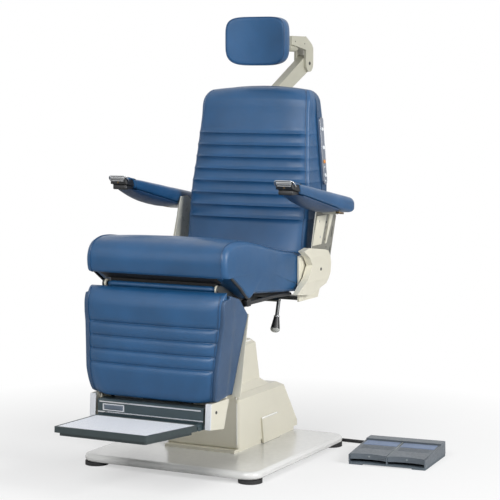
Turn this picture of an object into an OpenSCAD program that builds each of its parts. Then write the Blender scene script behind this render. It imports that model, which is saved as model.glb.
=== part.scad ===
// Examination chair with a powered lift, a reclining back, a coupled leg rest,
// a folding foot plate, lift-up arms, a jointed headrest and a two-pedal foot control.
// The origin is on the floor, on the axis of the lift column. The chair faces -Y.

/* [Base] */
// Width of the base plate
base_w = 634; // [600:2:660]
// Depth of the base plate
base_d = 675; // [660:5:700]
// Thickness of the base plate
base_t = 26; // [22:1:30]
// Plan radius of the base plate's corners
base_corner_r = 46; // [36:1:70]
// Height of the rubber feet
foot_h = 12; // [9:1:16]
// Radius of the rubber feet
foot_r = 38; // [30:1:40]

/* [Pedestal] */
// Width of the lower shroud
shroud_w = 270; // [260:2:290]
// Depth of the lower shroud at its foot
shroud_d = 436; // [424:2:440]
// Height of the lower shroud
shroud_h = 169; // [160:1:176]
// Width of the tower shroud at its shoulder
tower_w = 176; // [166:2:186]
// Depth of the tower shroud at its shoulder
tower_d = 217; // [212:1:222]
// Height of the tower shroud
tower_h = 159; // [152:1:160]
// Wall of the moulded shrouds
shroud_wall = 4; // [3:0.5:5]

/* [Lift and swivel] */
// Outer radius of the lift column
column_r = 60; // [54:1:61]
// Wall of the lift column
column_wall = 8; // [6:1:10]
// Length of the lift column
column_l = 325; // [305:1:330]
// Downward travel of the lift
lift_down = 105; // [80:1:105]
// Upward travel of the lift
lift_up = 95; // [70:1:95]
// Radius of the swivel spindle
spindle_r = 20; // [16:1:26]

/* [Seat] */
// Width of the seat cushion
seat_w = 500; // [480:2:520]
// Length of the seat cushion
seat_len = 560; // [550:2:568]
// Height of the seat cushion from its lowest edge to the top of its front roll
seat_h = 204; // [196:1:212]
// Thickness of the seat pan
pan_t = 9; // [7:1:11]

/* [Back] */
// Width of the back cushion
back_w = 448; // [420:2:456]
// Height of the back cushion
back_h = 544; // [530:2:560]
// Recline of the back's front face from upright, in degrees
back_lean = 10.1; // [8:0.1:12]
// Depth of the back shell
shell_d = 38; // [36:1:42]
// Pitch of the sewn channels in the back cushion
back_channel = 40.1; // [36:0.1:42]
// Number of seams in the back cushion
back_seams = 8; // [6:1:8]

/* [Leg rest] */
// Width of the leg cushion at the knee
leg_w = 494; // [480:2:500]
// Height of the leg cushion
leg_h = 334; // [326:2:336]
// Pitch of the sewn channels in the leg cushion
leg_channel = 41.7; // [38:0.1:44]
// Number of seams in the leg cushion
leg_seams = 4; // [3:1:5]
// Width of the foot box
foot_box_w = 374; // [360:2:376]
// Height of the foot box
foot_box_h = 66; // [60:1:67]
// Length of the foot plate
foot_plate_l = 270; // [240:5:290]
// Width of the foot plate at its front edge
foot_plate_w = 318; // [300:2:340]
// Thickness of the foot plate's rim
foot_plate_t = 18; // [16:1:20]

/* [Arms] */
// Width of an armrest
arm_w = 72; // [64:1:80]
// Length of an armrest
arm_l = 479; // [450:1:490]
// Slope of an armrest's top, in degrees
arm_tilt = 9.5; // [8:0.5:10.5]

/* [Headrest] */
// Width of the headrest pad
head_w = 214; // [190:2:240]
// Height of the headrest pad
head_h = 160; // [140:2:166]
// Thickness of the headrest pad
head_t = 50; // [42:1:54]
// Distance between the two pivots of the headrest link
head_link_l = 262; // [250:1:275]
// Radius of the headrest rod
rod_r = 9; // [7:0.5:10]

/* [Foot control] */
// Width of the foot control
control_w = 256; // [240:2:270]
// Depth of the foot control
control_d = 234; // [220:2:244]
// Height of the foot control
control_h = 50; // [44:1:52]

/* [Hidden] */
// Overrun of every cut
over = 1;
// Radial clearance of every turning or sliding fit
fit = 0.05;
// Gap between pieces that pass each other
clear = 1;
// Room round soft pieces that a bar passes through
soft_clear = 0.5;
// Facets of exact rounds and of blended outlines
round_fn = 64;
blend_fn = 32;

// Base plate: its pads stand a little inside the edge
plate_z = foot_h + base_t;
base_back = base_d / 2;
foot_edge = 2;
foot_x = base_w / 2 - foot_edge - foot_r;
foot_y = base_d / 2 - foot_edge - foot_r;

// Lower shroud: the rear wall leans forward above a short knee
shroud_gap = 14;
shroud_z = plate_z + shroud_gap;
shroud_front = -99;
shroud_back = shroud_front + shroud_d;
shroud_top = shroud_z + shroud_h;
shroud_bevel_w = 20;
shroud_bevel_h = 12;
shroud_corner_r = 10;
shroud_knee = 8;
shroud_lean_share = 0.255;
shroud_top_back = shroud_back - shroud_lean_share * shroud_d;

// Plinth frame inside the shroud's foot, with a low toe in front
plinth_lap = 18;
plinth_t = 3;
plinth_toe = 21;
plinth_toe_h = 10;

// Access cover on the shroud's side
access_t = 6;
access_h = 89;
access_lean = 14;
access_front_share = 0.347;
access_back_share = 0.62;

// Tower shroud with a skirt at its foot
tower_front = -79;
tower_back = tower_front + tower_d;
tower_top = shroud_top + tower_h;
tower_skirt_w = 24;
tower_skirt_h = 21;
tower_lean_front = 2;
tower_lean_back = 30;
tower_bevel = 14;

// Lift: a guide tube, the column in it, and a ram in its cylinder
guide_wall = 7;
guide_flange_w = 30;
guide_flange_r = column_r + guide_flange_w;
guide_flange_t = 12;
guide_top = tower_top - shroud_wall - tower_bevel;
ram_r = 18;
ram_grip = 60;
cylinder_wall = 12;
cylinder_floor = 10;
cylinder_l = lift_down + lift_up + ram_grip + 2 * cylinder_floor;
lift_stop = 5;
column_top = tower_top + lift_down + lift_stop;
column_z = column_top - column_l;
head_flange_w = 18;
head_flange_r = column_r + head_flange_w;
head_flange_t = 10;
head_plug_l = 60;
ram_end_gap = 2;
ram_l = column_top - head_plug_l - plate_z - cylinder_floor - lift_down - ram_end_gap;
spindle_l = 50;
turntable_w = 28;
turntable_r = column_r + turntable_w;
turntable_t = 12;
turntable_gap = 0.2;
turntable_z = column_top + head_flange_t + turntable_gap;
frame_z = turntable_z + turntable_t;

// Pump set behind the guide tube
pump_tank_w = 160;
pump_tank_d = 96;
pump_tank_h = 88;
pump_motor_r = 30;
pump_motor_l = 150;
pump_gap = 14;

// Seat: the outline is in shares of the length from the front edge and of the height
seat_front = -401;
seat_back = seat_front + seat_len;
frame_lift = 15;
seat_z = frame_z + frame_lift + pan_t;
seat_outline_shares = [
    [0.036, 0.466], [0.241, 0.191], [1, 0], [1, 0.30], [1, 0.598], [0.893, 0.65],
    [0.695, 0.74], [0.505, 0.85], [0.3625, 0.935], [0.227, 0.99], [0.14, 1], [0.09, 0.985],
    [0.045, 0.945], [0.014, 0.86], [0, 0.74], [0, 0.62], [0.006, 0.54], [0.016, 0.495]
];
// Across the seat: shares of the half width, and of the edge radius drawn in there
seat_station_shares = [-1, -0.985, -0.95, -0.86, -0.5, 0, 0.5, 0.86, 0.95, 0.985, 1];
seat_draw_shares = [1, 0.5, 0.18, 0.03, 0, 0, 0, 0.03, 0.18, 0.5, 1];
seat_edge_r = 18;
seat_crown = 7;
seat_lip_share = 0.3;

function seat_y(s) = seat_front + s * seat_len;
function seat_up(s) = seat_z + s * seat_h;
seat_knee_y = seat_y(seat_outline_shares[1][0]);
seat_knee_z = seat_up(seat_outline_shares[1][1]);
seat_slope = (seat_knee_z - seat_z) / (seat_back - seat_knee_y);
seat_lip_y = seat_y(seat_outline_shares[0][0]);
seat_lip_z = seat_up(seat_outline_shares[0][1]);
function pan_z(y) = seat_z + (seat_back - y) * seat_slope - pan_t;

// Leg rest plates, which the seat pan and the frame's arms pass beside
foot_box_gap = 6;
leg_plate_x = foot_box_w / 2 + foot_box_gap;
leg_plate_t = 6;
seat_pan_w = 2 * (leg_plate_x - 5 * clear);

// Seat frame
rail_x = 130;
rail_w = 20;
rail_in = 170;
rail_front = seat_front + rail_in;
rail_nose = 60;
cross_d = 36;
cross_y = seat_back - cross_d;
cross_h = 13;
front_cross_in = 6;
front_cross_y = rail_front + front_cross_in;
front_cross_d = 34;
front_cross_h = 20;
hub_plate_d = 180;

// Swivel brake: its housing, its lever and its knob
block_x = hub_plate_d / 2 + 2 * clear;
block_w = rail_x - block_x - 2 * clear;
block_y = -83;
block_d = 112;
block_drop = 6;
lever_in = 25;
lever_y = 2;
lever_rise = 14;
lever_z = frame_z + lever_rise;
lever_r = 6;
lever_l = 50;
lever_lean = 16;
knob_l = 48;
knob_wall = 2;
knob_neck_r = lever_r + knob_wall;
knob_tip_r = 15;
knob_cap = 6;

// Back and its pivot
pivot_back = 85;
pivot_rise = 102;
pivot_y = seat_back + pivot_back;
pivot_z = frame_z + pivot_rise;
pivot_r = 16;
pivot_wall = 6;
pivot_hub_r = pivot_r + pivot_wall;
back_gap = 16;
back_z = pivot_z + pivot_hub_r + back_gap;
back_ahead = 65;
back_front_y = pivot_y - back_ahead;
back_top = back_z + back_h;
shell_behind = 83;
shell_front = pivot_y + shell_behind;
shell_back = shell_front + shell_d;
shell_wall = 5;
shell_edge = 12;
shell_lap = 2;
shell_w = back_w + 2 * shell_lap;
shell_rise = 12;
shell_narrow = 18;
shell_shoulder = 48;
shell_waist_share = 0.415;
shell_chest_share = 0.838;
shell_waist_z = back_z + shell_waist_share * back_h;
shell_chest_z = back_z + shell_chest_share * back_h;
shell_slack = 3;
shell_turn = shell_w / 2 - shell_narrow - shell_slack;

// Bars of the back frame
bar_x = 150;
bar_t = 12;
bar_d = 18;
bar_gap = shell_d - shell_wall - bar_d;
bar_foot_drop = 6;
bar_head_gap = 28;
bar_top = back_z + back_h - 2 * shell_shoulder - bar_head_gap;
bar_cross_h = 36;
bar_cross_lift = 60;

// Back cushion: rows are shares of its height
back_crown = 9;
back_seam_depth = 7;
back_first_seam = 117;
back_roll_r = 44;
back_roll_depth = 46;
back_roll_draw = 30;
back_foot_r = 14;
back_foot_depth = 12;
back_foot_draw = 6;
back_low_row_shares = [0, 0.0074, 0.026, 0.074, 0.147, 0.19];
back_high_row_shares = [0.9, 0.93, 0.956, 0.982, 0.995, 1];
seam_row_shares = [-0.16, 0, 0.16, 0.5];

// Switch strip on the side of the shell
panel_w = 28;
panel_t = 6;
panel_l = 226;
panel_angle = atan(shell_narrow / (shell_chest_z - shell_waist_z));
button_r = 6;
button_l = 6;
button_out = 2.5;
button_shares = [0.82, 0.55, 0.34, 0.14];

// Side plates, hinge covers and arm brackets: outlines are shares of a span about the pivot
side_plate_x = max(seat_w, shell_w) / 2 + clear;
side_plate_t = 6;
lever_x = side_plate_x - lever_in;
bracket_x = side_plate_x + side_plate_t;
bracket_t = 5;
bracket_cover_t = 3;
plate_span = 100;
plate_shares = [[-0.12, -1], [0.26, -0.32], [0.26, 0.26], [-0.6, 0.54]];
plate_rise = 46;
cover_x = bracket_x + bracket_t;
cover_w = 23;
cover_wall = 3;
cover_draw = 9;
cover_fold = 40;
cover_span = 240;
cover_shares = [[-0.73, 0.27], [-0.55, 0.3], [-0.06, 0.24], [0.05, 0.215], [0.105, 0.14], [0.133, 0.04],
    [0.115, -0.09], [0, -0.235], [-0.47, -0.35], [-0.9, -0.3], [-0.59, -0.1], [-0.475, 0.06], [-0.56, 0.17]];
bracket_shares = [[-0.31, -0.083], [0.0625, -0.083], [0.31, 0.108], [0.504, 0.667], [0.183, 0.85],
    [0.1, 0.9], [-0.083, 0.9], [-0.154, 0.717], [-0.31, 0.167]];
front_strip_shares = [[-0.28, 0.304], [-0.0125, 0.304], [0.1625, 0.7], [-0.13, 0.7]];
rear_strip_shares = [[0.1125, 0.304], [0.154, 0.304], [0.3875, 0.7], [0.27, 0.7]];

// Leg rest
leg_pivot_in = 44;
leg_pivot_rise = 84;
leg_pivot_y = seat_front + leg_pivot_in;
leg_pivot_z = frame_z + leg_pivot_rise;
leg_pivot_r = 8;
leg_hub_r = 14;
leg_drop = 5;
leg_ahead = 17;
leg_front = seat_front - leg_ahead;
leg_top = leg_pivot_z - leg_drop;
leg_z = leg_top - leg_h;
leg_pad_t = 60;
leg_back = leg_front + leg_pad_t;
leg_crown = 5;
leg_seam_depth = 7;
leg_first_seam = 107;
leg_lean_share = 0.11;
leg_tuck = 80;
leg_tuck_share = 0.132;
leg_taper_share = 0.086;
leg_taper_top = 80;
leg_corner_r = 100;
leg_corner_draw = 34;
leg_roll_r = 54;
leg_roll_depth = 38;
leg_roll_back = 17;
leg_foot_r = 26;
leg_foot_depth = 12;
leg_low_row_shares = [0, 0.009, 0.03, 0.072, 0.144, 0.21];
leg_high_row_shares = [0.79, 0.85, 0.9, 0.946, 0.979, 1];
leg_sheet_t = 3;
leg_sheet_top_in = 173;
leg_sheet_low_in = 117;
leg_sheet_drop = 79;
leg_sheet_top_y = leg_front + leg_sheet_top_in;
leg_sheet_top_z = leg_top - leg_sheet_drop;
leg_sheet_low_y = leg_front + leg_sheet_low_in;
leg_sheet_lift = 4;
leg_side_inset = 3;
leg_side_gap = leg_plate_t + 2 * clear;
leg_side_crest = 56;
leg_side_back_drop = 26;
leg_side_front_drop = 34;
bracket_drop = 80;
bracket_tip_drop = 94;
bracket_nose = 24;
bracket_tip = 90;
bracket_heel = 12;
rail_tube_r = 6;
rail_tube_in = 44;
rail_tube_y = leg_front + rail_tube_in;
rail_tube_drop = 8;

// Foot box and foot plate
box_ahead = 14;
box_front = leg_front - box_ahead;
box_d = 54;
box_drop = 79;
box_z = leg_z - box_drop;
box_edge = 5;
box_lug_d = 30;
box_lug_h = 40;
box_lug_lift = 12;
trim_t = 2;
trim_h = 4;
trim_low = 24;
trim_high = 10;
trim_short = 7;
label_x = -168;
label_w = 78;
label_h = 21;
label_lift = 31;
hinge_ahead = 19;
hinge_rise = 9;
hinge_y = box_front - hinge_ahead;
hinge_z = box_z + hinge_rise;
hinge_r = 5;
hinge_wall = 4;
hinge_end = 3;
lug_w = 14;
foot_tilt = 3;
plate_heel = 12;
plate_corner_r = 6;
plate_under = 10;
plate_under_inset = 12;
plate_under_back = 20;
mat_t = 2;
mat_proud = 0.4;
rim_w = 9;

// Arms
arm_x = bracket_x + bracket_t + bracket_cover_t + clear;
arm_hinge_back = 10;
arm_hinge_rise = 294;
arm_hinge_y = pivot_y + arm_hinge_back;
arm_hinge_z = frame_z + arm_hinge_rise;
arm_tail = 106;
arm_rise = 405;
arm_front = arm_hinge_y + arm_tail - arm_l;
arm_z = frame_z + arm_rise;
arm_pin_r = 8;
arm_hub_r = 19;
arm_wall = 4;
arm_core_gap = 20;
arm_core_w = arm_w - arm_core_gap;
arm_blade_inset = 16;
arm_blade_h = 13;
arm_blade_l = 110;
arm_blade_top = 3;
arm_cap_l = 66;
arm_cap_h = 27;
arm_cap_edge = 7;
arm_cap_inset = 4;
arm_slope = tan(arm_tilt);
arm_seam_drop = 48;
arm_seam_start = 60;
arm_seam_share = 0.225;
arm_tail_share = 0.16;
arm_seam_gap = 0.4;
// Along the pad: shares of the arm's length, then of the section there
arm_pad_shares = [[0, 0.80], [0.008, 0.93], [0.03, 1], [0.125, 1], [0.27, 1], [0.42, 1], [0.565, 1], [0.69, 1],
    [0.773, 1], [0.825, 0.97], [0.85, 0.9], [0.862, 0.8]];
// Along the cover: shares of the arm's length, of the belly's depth and of the width
arm_belly = 38;
arm_cover_start = 40;
arm_cover_shares = [[0, 0.08, 0.62], [0.038, 0.53, 0.8], [0.094, 0.87, 0.92], [0.21, 1, 0.95], [0.324, 0.95, 0.95],
    [0.44, 0.76, 0.95], [0.553, 0.53, 0.92], [0.664, 0.21, 0.85]];

// Headrest
link_back = 54;
link_drop = 20;
link_y = shell_back + link_back;
link_z = back_top - link_drop;
link_angle = 24.7;
link_low_r = 24;
link_high_r = 29;
link_w = 28;
link_pin_r = 8;
mount_ear_t = 10;
mount_ear_r = 26;
mount_h = 84;
elbow_y = link_y + head_link_l * cos(link_angle);
elbow_z = link_z + head_link_l * sin(link_angle);
elbow_t = 9;
elbow_r = 30;
elbow_rise = 94;
elbow_shoulder = 54;
elbow_bevel = 12;
elbow_crest = 68;
rod_rise = 56;
rod_z = elbow_z + rod_rise;
rod_tail = 60;
clamp_ahead = 138;
clamp_y = elbow_y - clamp_ahead;
clamp_l = 62;
clamp_wall = 7;
clamp_nose = 8;
tilt_ahead = 160;
tilt_y = clamp_y - tilt_ahead;
tilt_r = 4;
tilt_eye_r = 11;
tilt_ear_r = 10;
tilt_ear_t = 6;
tilt_gap = soft_clear;
pad_plate_w = 90;
pad_plate_h = 70;
pad_plate_t = 5;
head_ahead = 78;
head_front = tilt_y - head_ahead;
head_drop = 64;
head_z = rod_z - head_drop;
head_wing = 26;
head_corner = 44;
head_belly = 10;
head_station_shares = [-1, -0.975, -0.92, -0.8, -0.55, -0.28, 0, 0.28, 0.55, 0.8, 0.92, 0.975, 1];

// Foot control, turned a little on the floor
control_x = 561;
control_in = 140.5;
control_y = base_back - control_in;
control_turn = 5;
control_base_t = 8;
control_foot_t = 3;
control_foot_w = 46;
control_slope = 18;
pedal_gap = 4;
pedal_w = (control_w - 3 * pedal_gap) / 2;
bar_depth = 54;
pedal_pin_r = 3;
pedal_hub_r = 6;
pedal_pin_z = 27;
pedal_pin_y = control_d / 2 - bar_depth - pedal_hub_r - clear;
pedal_face = 17;
pedal_skin = 4;
pedal_top_drop = 5;
pedal_front_z = 34;
pedal_scoop_r = 190;
pedal_scoop = 14;
control_gland_x = -60;
control_gland_z = 17;

// Cord: its points are chosen by hand, behind the rear edge of the base plate, then swept
cord_d = 12;
cord_steps = 4;
cord_sides = 8;
gland_x = -140;
gland_z = foot_h + base_t / 2;
gland_r = 10;
gland_in = 12;
gland_out = 14;
cord_lead = [[-140, 14, 25], [-140, 19.5, 24.5], [-137, 31.5, 20], [-126, 42.5, 11],
    [-105, 46.5, 6.5], [-70, 46.5, 6], [-32, 46.5, 6], [-20, 46.5, 6]];
cord_run = [[-20, 46.5, 18.8], [-8, 46.5, 18.8], [30, 46.5, 18.6], [70, 44.5, 12], [110, 42.5, 6.5],
    [200, 38.5, 6], [300, 35.5, 6], [390, 36.5, 6], [445, 35.5, 8], [476, 21.5, 12], [487, 3.5, 16],
    [489, -8.5, 17], [489.6, -15.1, 17]];
coil_x = -20;
coil_behind = 112.5;
coil_y = base_back + coil_behind;
coil_r = 66;
coil_turns = 3;
coil_step = 13.6;
coil_rise = 12.8;
coil_rings = 24;
coil_sides = 6;

// Helpers

function mix(a, b, t) = a + (b - a) * t;
function mean(list, i = 0, s = 0) = i == len(list) ? s / len(list) : mean(list, i + 1, s + list[i]);

// How far a quarter round has drawn in at share t of its radius, from 0 at its start to 1 at its end
function quarter(t) = 1 - sqrt(max(0, 1 - t * t));

// Extrudes a YZ outline along X, from x0 to x1
module along_x(x0, x1) {
    translate([x0, 0, 0]) rotate([90, 0, 90]) linear_extrude(x1 - x0) children();
}

// Extrudes an XZ outline along Y, from y0 to y1
module along_y(y0, y1) {
    translate([0, y1, 0]) rotate([90, 0, 0]) linear_extrude(y1 - y0) children();
}

// Cylinder along X, and one along Y
module rod_x(r, x0, x1, y, z) {
    translate([x0, y, z]) rotate([0, 90, 0]) cylinder(r = r, h = x1 - x0, $fn = round_fn);
}
module rod_y(r, y0, y1, x, z) {
    translate([x, y1, z]) rotate([90, 0, 0]) cylinder(r = r, h = y1 - y0, $fn = round_fn);
}

// Both hands of a piece that is modelled on the +X side
module both_sides() {
    children();
    mirror([1, 0, 0]) children();
}

// Rectangle centred on the origin, with true round corners
module rounded_rect(w, d, r) {
    square([w - 2 * r, d], center = true);
    square([w, d - 2 * r], center = true);
    for (x = [-1, 1], y = [-1, 1])
        translate([x * (w / 2 - r), y * (d / 2 - r)]) circle(r, $fn = round_fn);
}

// Disc at a place on a YZ outline
module disc_at(y, z, r, fn = round_fn) {
    translate([y, z]) circle(r, $fn = fn);
}

// Outline given in shares of a span about the back's pivot
module about_pivot(shares, span) {
    polygon([for (s = shares) [pivot_y + s[0] * span, pivot_z + s[1] * span]]);
}

// Closed skin of triangles over a list of rings, each with the same count of points
module skin(rings) {
    n = len(rings[0]);
    m = len(rings);
    middle = [for (k = [0, m - 1]) [for (a = [0:2]) mean([for (p = rings[k]) p[a]])]];
    points = concat([for (ring = rings) each ring], middle);
    sides = [for (k = [0:m - 2], i = [0:n - 1])
        let (j = (i + 1) % n, a = k * n + i, b = k * n + j, c = a + n, d = b + n)
        each [[a, c, b], [b, c, d]]];
    ends = [for (i = [0:n - 1]) let (j = (i + 1) % n)
        each [[m * n, i, j], [m * n + 1, (m - 1) * n + j, (m - 1) * n + i]]];
    polyhedron(points = points, faces = concat(sides, ends), convexity = 8);
}

// Unit ring of a pad's cross section: q sets how square its corners are
function pad_ring(n, q) = [for (i = [0:n - 1]) let (t = 360 * (i + 0.5) / n)
    [sign(cos(t)) * pow(abs(cos(t)), q), sign(sin(t)) * pow(abs(sin(t)), q)]];

// Groove of a sewn seam: 1 on the seam, 0 beyond a third of a pitch from it
function groove(h, seams, pitch, first) = let (k = (h - first) / pitch, near = round(k))
    (near < 0 || near > seams - 1) ? 0 : pow(max(0, 1 - 3 * abs(k - near)), 1.4);

// Base plate with a full bullnose edge
module base_plate() {
    nose = base_t / 2;
    color("gainsboro") difference() {
        translate([0, 0, foot_h]) {
            linear_extrude(base_t) rounded_rect(base_w - base_t, base_d - base_t, base_corner_r - nose);
            for (x = [-1, 1]) translate([x * (base_w / 2 - nose), 0, nose]) rotate([90, 0, 0])
                cylinder(r = nose, h = base_d - 2 * base_corner_r, center = true, $fn = round_fn);
            for (y = [-1, 1]) translate([0, y * (base_d / 2 - nose), nose]) rotate([0, 90, 0])
                cylinder(r = nose, h = base_w - 2 * base_corner_r, center = true, $fn = round_fn);
            for (x = [-1, 1], y = [-1, 1])
                translate([x * (base_w / 2 - base_corner_r), y * (base_d / 2 - base_corner_r), nose])
                    rotate_extrude($fn = round_fn) translate([base_corner_r - nose, 0])
                        circle(nose, $fn = blend_fn);
        }
        rod_y(gland_r, base_back - gland_in, base_back + over, gland_x, gland_z);
    }
}

module base_feet() {
    color("black") for (x = [-1, 1], y = [-1, 1])
        translate([x * foot_x, y * foot_y, 0]) cylinder(r = foot_r, h = foot_h, $fn = round_fn);
}

// Upright frame that carries the shroud a finger's width above the plate
module plinth_frame() {
    w = shroud_w - 2 * shroud_wall;
    front = shroud_front + shroud_wall;
    back = shroud_back - shroud_wall - plinth_lap;
    toe_w = w - 2 * plinth_t;
    toe_front = shroud_front - plinth_toe;
    color("wheat") {
        translate([0, (front + back) / 2, plate_z]) linear_extrude(shroud_gap + plinth_lap) difference() {
            rounded_rect(w, back - front, shroud_corner_r - shroud_wall);
            square([w - 2 * plinth_t, back - front - 2 * plinth_t], center = true);
        }
        translate([-toe_w / 2, toe_front, plate_z]) cube([toe_w, front - toe_front + plinth_t, plinth_toe_h]);
    }
}

// Side and front outlines of the lower shroud, with its foot lowered by drop
module shroud_side(drop) {
    polygon([
        [shroud_front, shroud_z - drop], [shroud_back, shroud_z - drop],
        [shroud_back, shroud_z + shroud_knee], [shroud_top_back, shroud_top - shroud_bevel_h],
        [shroud_top_back - shroud_bevel_w, shroud_top],
        [shroud_front + shroud_bevel_w, shroud_top], [shroud_front, shroud_top - shroud_bevel_h]
    ]);
}
module shroud_face(drop) {
    h = shroud_w / 2;
    polygon([
        [-h, shroud_z - drop], [h, shroud_z - drop], [h, shroud_top - shroud_bevel_h],
        [h - shroud_bevel_w, shroud_top], [-h + shroud_bevel_w, shroud_top],
        [-h, shroud_top - shroud_bevel_h]
    ]);
}

// Body of the lower shroud, drawn in by inset
module shroud_form(inset, drop) {
    intersection() {
        along_x(-shroud_w, shroud_w) offset(delta = -inset) shroud_side(drop);
        along_y(-shroud_d, shroud_d) offset(delta = -inset) shroud_face(drop);
        translate([0, (shroud_front + shroud_back) / 2, 0]) linear_extrude(shroud_top)
            rounded_rect(shroud_w - 2 * inset, shroud_d - 2 * inset, shroud_corner_r - inset);
    }
}

module lower_shroud() {
    color("ivory") difference() {
        shroud_form(0, 0);
        shroud_form(shroud_wall, shroud_wall + over);
        tower_form(shroud_wall, tower_skirt_h);
    }
}

// Side and front outlines of the tower shroud, flaring into a skirt at its foot
module tower_side(drop) {
    head = tower_top - tower_bevel;
    polygon([
        [tower_front, shroud_top - drop], [tower_back + tower_skirt_w, shroud_top - drop],
        [tower_back + tower_skirt_w, shroud_top], [tower_back, shroud_top + tower_skirt_h],
        [tower_back - tower_lean_back, head], [tower_back - tower_lean_back - tower_bevel, tower_top],
        [tower_front + tower_lean_front + tower_bevel, tower_top], [tower_front + tower_lean_front, head],
        [tower_front, shroud_top + tower_skirt_h]
    ]);
}
module tower_face(drop) {
    h = tower_w / 2;
    s = h + tower_skirt_w;
    head = tower_top - tower_bevel;
    polygon([
        [-s, shroud_top - drop], [s, shroud_top - drop], [s, shroud_top], [h, shroud_top + tower_skirt_h],
        [h, head], [h - tower_bevel, tower_top], [-h + tower_bevel, tower_top], [-h, head],
        [-h, shroud_top + tower_skirt_h], [-s, shroud_top]
    ]);
}

module tower_form(inset, drop) {
    intersection() {
        along_x(-shroud_w, shroud_w) offset(delta = -inset) tower_side(drop);
        along_y(-shroud_d, shroud_d) offset(delta = -inset) tower_face(drop);
    }
}

module tower_shroud() {
    color("ivory") difference() {
        tower_form(0, 0);
        tower_form(shroud_wall, shroud_wall + over);
        translate([0, 0, tower_top - shroud_wall - over])
            cylinder(r = column_r + shroud_wall, h = shroud_wall + 2 * over, $fn = round_fn);
    }
}

// Raised access cover on the side of the lower shroud, with a chamfered top
module shroud_side_cover() {
    x = shroud_w / 2;
    y0 = shroud_front + access_front_share * shroud_d;
    y1 = shroud_front + access_back_share * shroud_d;
    low = plate_z + clear;
    top = plate_z + access_h;
    color("ivory") intersection() {
        along_x(x, x + access_t) polygon([[y0 + access_lean, low], [y1 + access_lean, low], [y1, top], [y0, top]]);
        along_y(y0, y1 + access_lean) polygon([[x, 0], [x + access_t, 0], [x + access_t, top - access_t], [x, top]]);
    }
}

// Fixed tube that the column slides in
module guide_tube() {
    color("silver") translate([0, 0, plate_z]) difference() {
        union() {
            cylinder(r = column_r + guide_wall, h = guide_top - plate_z, $fn = round_fn);
            cylinder(r = guide_flange_r, h = guide_flange_t, $fn = round_fn);
        }
        translate([0, 0, -over]) cylinder(r = column_r + fit, h = guide_top, $fn = round_fn);
    }
}

module lift_cylinder() {
    color("dimgray") translate([0, 0, plate_z]) difference() {
        cylinder(r = ram_r + cylinder_wall, h = cylinder_l, $fn = round_fn);
        translate([0, 0, cylinder_floor]) cylinder(r = ram_r + fit, h = cylinder_l, $fn = round_fn);
    }
}

// Pump set: oil tank with the motor lying on top
module pump_unit() {
    y = guide_flange_r + pump_gap;
    color("dimgray") {
        translate([-pump_tank_w / 2, y, plate_z]) cube([pump_tank_w, pump_tank_d, pump_tank_h]);
        rod_x(pump_motor_r, -pump_motor_l / 2, pump_motor_l / 2, y + pump_motor_r + clear,
            plate_z + pump_tank_h + pump_motor_r - over);
    }
}

module in_control() {
    translate([control_x, control_y, 0]) rotate([0, 0, control_turn]) children();
}

// Strain reliefs at the base plate and at the foot control
module cord_glands() {
    color("black") {
        rod_y(gland_r, base_back - gland_in, base_back + gland_out, gland_x, gland_z);
        in_control() rod_y(gland_r, control_d / 2, control_d / 2 + gland_out, control_gland_x, control_gland_z);
    }
}

// Base of the foot control with its two shallow skids
module foot_control_base() {
    color("dimgray") in_control() {
        translate([0, 0, control_foot_t]) linear_extrude(control_base_t - control_foot_t)
            rounded_rect(control_w, control_d, pedal_gap);
        for (x = [-1, 1]) translate([x * (control_w - control_foot_w) / 2, 0, 0])
            linear_extrude(control_foot_t) rounded_rect(control_foot_w, control_d, pedal_gap);
    }
}

// Rear bar, side cheeks and middle rib that stand round the pedals, with the pedals' pin
module foot_control_housing() {
    back = control_d / 2;
    step = back - bar_depth;
    color("slategray") in_control() {
        along_x(-control_w / 2, control_w / 2) polygon([[step, control_base_t], [back, control_base_t],
            [back - pedal_gap, control_h], [step, control_h]]);
        for (x = [-control_w / 2, -pedal_gap / 2, control_w / 2 - pedal_gap])
            along_x(x, x + pedal_gap) polygon([[-back, control_base_t], [step, control_base_t],
                [step, control_h - pedal_gap], [-back, control_h - control_slope]]);
        rod_x(pedal_pin_r, -control_w / 2 + over, control_w / 2 - over, pedal_pin_y, pedal_pin_z);
    }
}

// Pedal with a hollow underside, a hub on the pin and a scooped front lip
module pedal(side) {
    back = control_d / 2 - bar_depth - clear;
    front = -control_d / 2;
    heel = back - 2 * pedal_hub_r - clear;
    x0 = (side < 0 ? -control_w / 2 + pedal_gap : pedal_gap / 2) + clear / 2;
    w = pedal_w - clear;
    top = control_h - pedal_top_drop;
    inner = front + pedal_skin + pedal_scoop;
    color("slategray") in_control() difference() {
        union() {
            difference() {
                along_x(x0, x0 + w) polygon([[front, pedal_face], [heel, pedal_face],
                    [back - pedal_hub_r, pedal_pin_z + pedal_hub_r], [back, pedal_pin_z + pedal_hub_r],
                    [back, top], [front, pedal_front_z]]);
                along_x(x0 + pedal_skin, x0 + w - pedal_skin) polygon([[inner, pedal_face - over],
                    [heel - pedal_skin, pedal_face - over], [heel - pedal_skin, top - 3 * pedal_skin],
                    [inner, pedal_front_z - pedal_skin]]);
            }
            rod_x(pedal_hub_r, x0, x0 + w, pedal_pin_y, pedal_pin_z);
        }
        rod_x(pedal_pin_r + fit, x0 - over, x0 + w + over, pedal_pin_y, pedal_pin_z);
        translate([x0 + w / 2, front + pedal_scoop - pedal_scoop_r, 0])
            cylinder(r = pedal_scoop_r, h = control_h + over, $fn = 2 * round_fn);
    }
}

// Points of a rounded curve through a hand-chosen route
function curve(route, steps) = let (n = len(route) - 1) concat([for (i = [0:n - 1], s = [0:steps - 1])
    let (t = s / steps, a = route[max(i - 1, 0)], b = route[i], c = route[i + 1], d = route[min(i + 2, n)])
    0.5 * (2 * b + (c - a) * t + (2 * a - 5 * b + 4 * c - d) * t * t + (3 * b - a - 3 * c + d) * t * t * t)],
    [route[n]]);

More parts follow.
